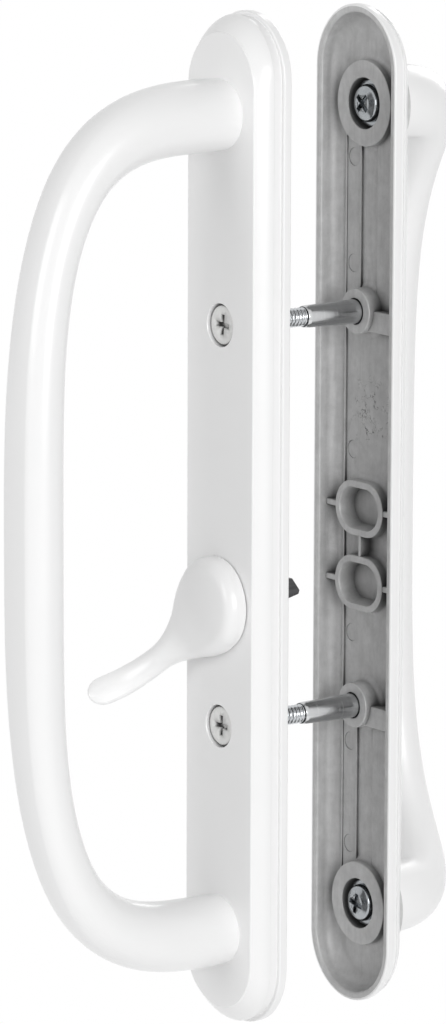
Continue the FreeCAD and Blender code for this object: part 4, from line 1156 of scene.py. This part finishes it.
lever = as_object("latch_lever_casting", lever_mesh(), enamel, casting)
neck = HUB_RADIUS - CLIP_GROOVE
hub = turned([(0, LEVER_BACK + MM, 0), (HUB_RADIUS, LEVER_BACK + MM, 0),
              (HUB_RADIUS, CLIP_FAR + 0.1 * MM, 0.1 * MM), (neck, CLIP_FAR + 0.1 * MM, 0.1 * MM),
              (neck, CLIP_NEAR, 0.1 * MM), (HUB_RADIUS, CLIP_NEAR, 0.1 * MM),
              (HUB_RADIUS, HUB_END, 0.4 * MM), (0, HUB_END, 0)], (0, 0, -LATCH_DROP))
finish_all(hub, BARE)
socket = block((-BLADE_HALF_THICKNESS - SOCKET_PLAY, -HUB_END - SOCKET_DEPTH,
                -LATCH_DROP - BLADE_HALF - SOCKET_PLAY),
               (BLADE_HALF_THICKNESS + SOCKET_PLAY, 0, -LATCH_DROP + BLADE_HALF + SOCKET_PLAY), 0)
cast(lever, [hub], [socket])
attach(lever, "latch")
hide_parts("latch_lever")


# Tailpiece, washer and clip. A flat blade of oxide-blackened steel with an off-centre point
# turns the lock inside the door. A nylon washer and a spring clip in the hub's groove hold the
# lever to the plate from behind.
BLADE_TIP = 15.3 * MM
RING_RADIUS = 8.6 * MM
NYLON_BORE = 6.4 * MM
CLIP_MOUTH_HALF = 4.2 * MM


def oxide_steel():
    """Blackened steel: dark and slightly oily, with paler rubbed streaks along the blade."""
    material, tree, shader, place = start_finish("black_oxide_steel", "#4A4A4B", 0.42, 0.9)
    along = add(tree, "ShaderNodeMapping", {"Vector": place, "Scale": (1.0, 0.15, 1.0)})
    rubbed = add(tree, "ShaderNodeTexNoise", {
        "Vector": along, "Scale": 1 / (0.9 * MM), "Detail": 4.0, "Roughness": 0.65})
    tint = add(tree, "ShaderNodeMix", {
        0: rubbed, 6: linear("#363637"), 7: linear("#636364")}, data_type="RGBA")
    gloss = add(tree, "ShaderNodeMapRange", {
        "Value": rubbed, "From Min": 0.3, "From Max": 0.7,
        "To Min": 0.5, "To Max": 0.34})
    feed(tree, shader, {"Base Color": tint, "Roughness": gloss})
    return material


def natural_nylon():
    """Natural nylon: a milky, waxy cream that lets a little light in."""
    material, tree, shader, place = start_finish("natural_nylon", "#E6E2D6", 0.45)
    feed(tree, shader, {"IOR": 1.53, "Subsurface Weight": 0.15, "Subsurface Scale": 0.6 * MM})
    cloud = add(tree, "ShaderNodeTexNoise", {"Vector": place, "Scale": 1 / (2.5 * MM), "Detail": 2.0})
    tint = add(tree, "ShaderNodeMix", {
        0: cloud, 6: linear("#DDD9CC"), 7: linear("#EBE8DE")}, data_type="RGBA")
    feed(tree, shader, {"Base Color": tint})
    return material


oxide, nylon = oxide_steel(), natural_nylon()
start = -HUB_END - SOCKET_DEPTH
outline = [(start, -BLADE_HALF), (BLADE_TIP - 7 * MM, -BLADE_HALF),
           (BLADE_TIP - 4.5 * MM, -0.25 * BLADE_HALF), (BLADE_TIP - 1.2 * MM, -0.05 * BLADE_HALF),
           (BLADE_TIP - 0.9 * MM, 0.2 * BLADE_HALF), (BLADE_TIP - 3.2 * MM, BLADE_HALF),
           (start, BLADE_HALF)]
blade = bmesh.new()
skin(blade, [[blade.verts.new((side * BLADE_HALF_THICKNESS, y, z - LATCH_DROP)) for y, z in outline]
             for side in (-1, 1)], caps=True)
bmesh.ops.bevel(blade, geom=blade.edges, offset=0.18 * MM, segments=2, profile=0.5, affect="EDGES")
spindle = as_object("latch_tailpiece", blade, oxide)
shade(spindle)
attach(spindle, "latch")
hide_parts("latch_spindle")

ring_at = (0, 0, -LATCH_DROP)
washer_near, washer_far = HUB_BOSS_RECESS - 0.4 * MM, HUB_BOSS_RECESS
thrust_washer = as_object("latch_thrust_washer", turned([
    (NYLON_BORE, washer_near, 0.08 * MM), (RING_RADIUS, washer_near, 0.12 * MM),
    (RING_RADIUS, washer_far, 0.12 * MM), (NYLON_BORE, washer_far, 0.08 * MM),
    (NYLON_BORE, (washer_near + washer_far) / 2, 0)], ring_at), nylon)
shade(thrust_washer)
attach(thrust_washer, "handle_set")
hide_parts("latch_washer")

clip = as_object("latch_spring_clip", turned([
    (neck, CLIP_NEAR, 0.12 * MM), (RING_RADIUS, CLIP_NEAR, 0.2 * MM),
    (RING_RADIUS, CLIP_FAR, 0.2 * MM), (neck, CLIP_FAR, 0.12 * MM),
    (neck, (CLIP_NEAR + CLIP_FAR) / 2, 0)], ring_at), oxide)
mouth = block((0, -CLIP_FAR - MM, -LATCH_DROP - CLIP_MOUTH_HALF),
              (RING_RADIUS + MM, -CLIP_NEAR + MM, -LATCH_DROP + CLIP_MOUTH_HALF), 0)
cast(clip, [], [finish_all(mouth, 0)])
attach(clip, "latch")
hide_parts("latch_clip")
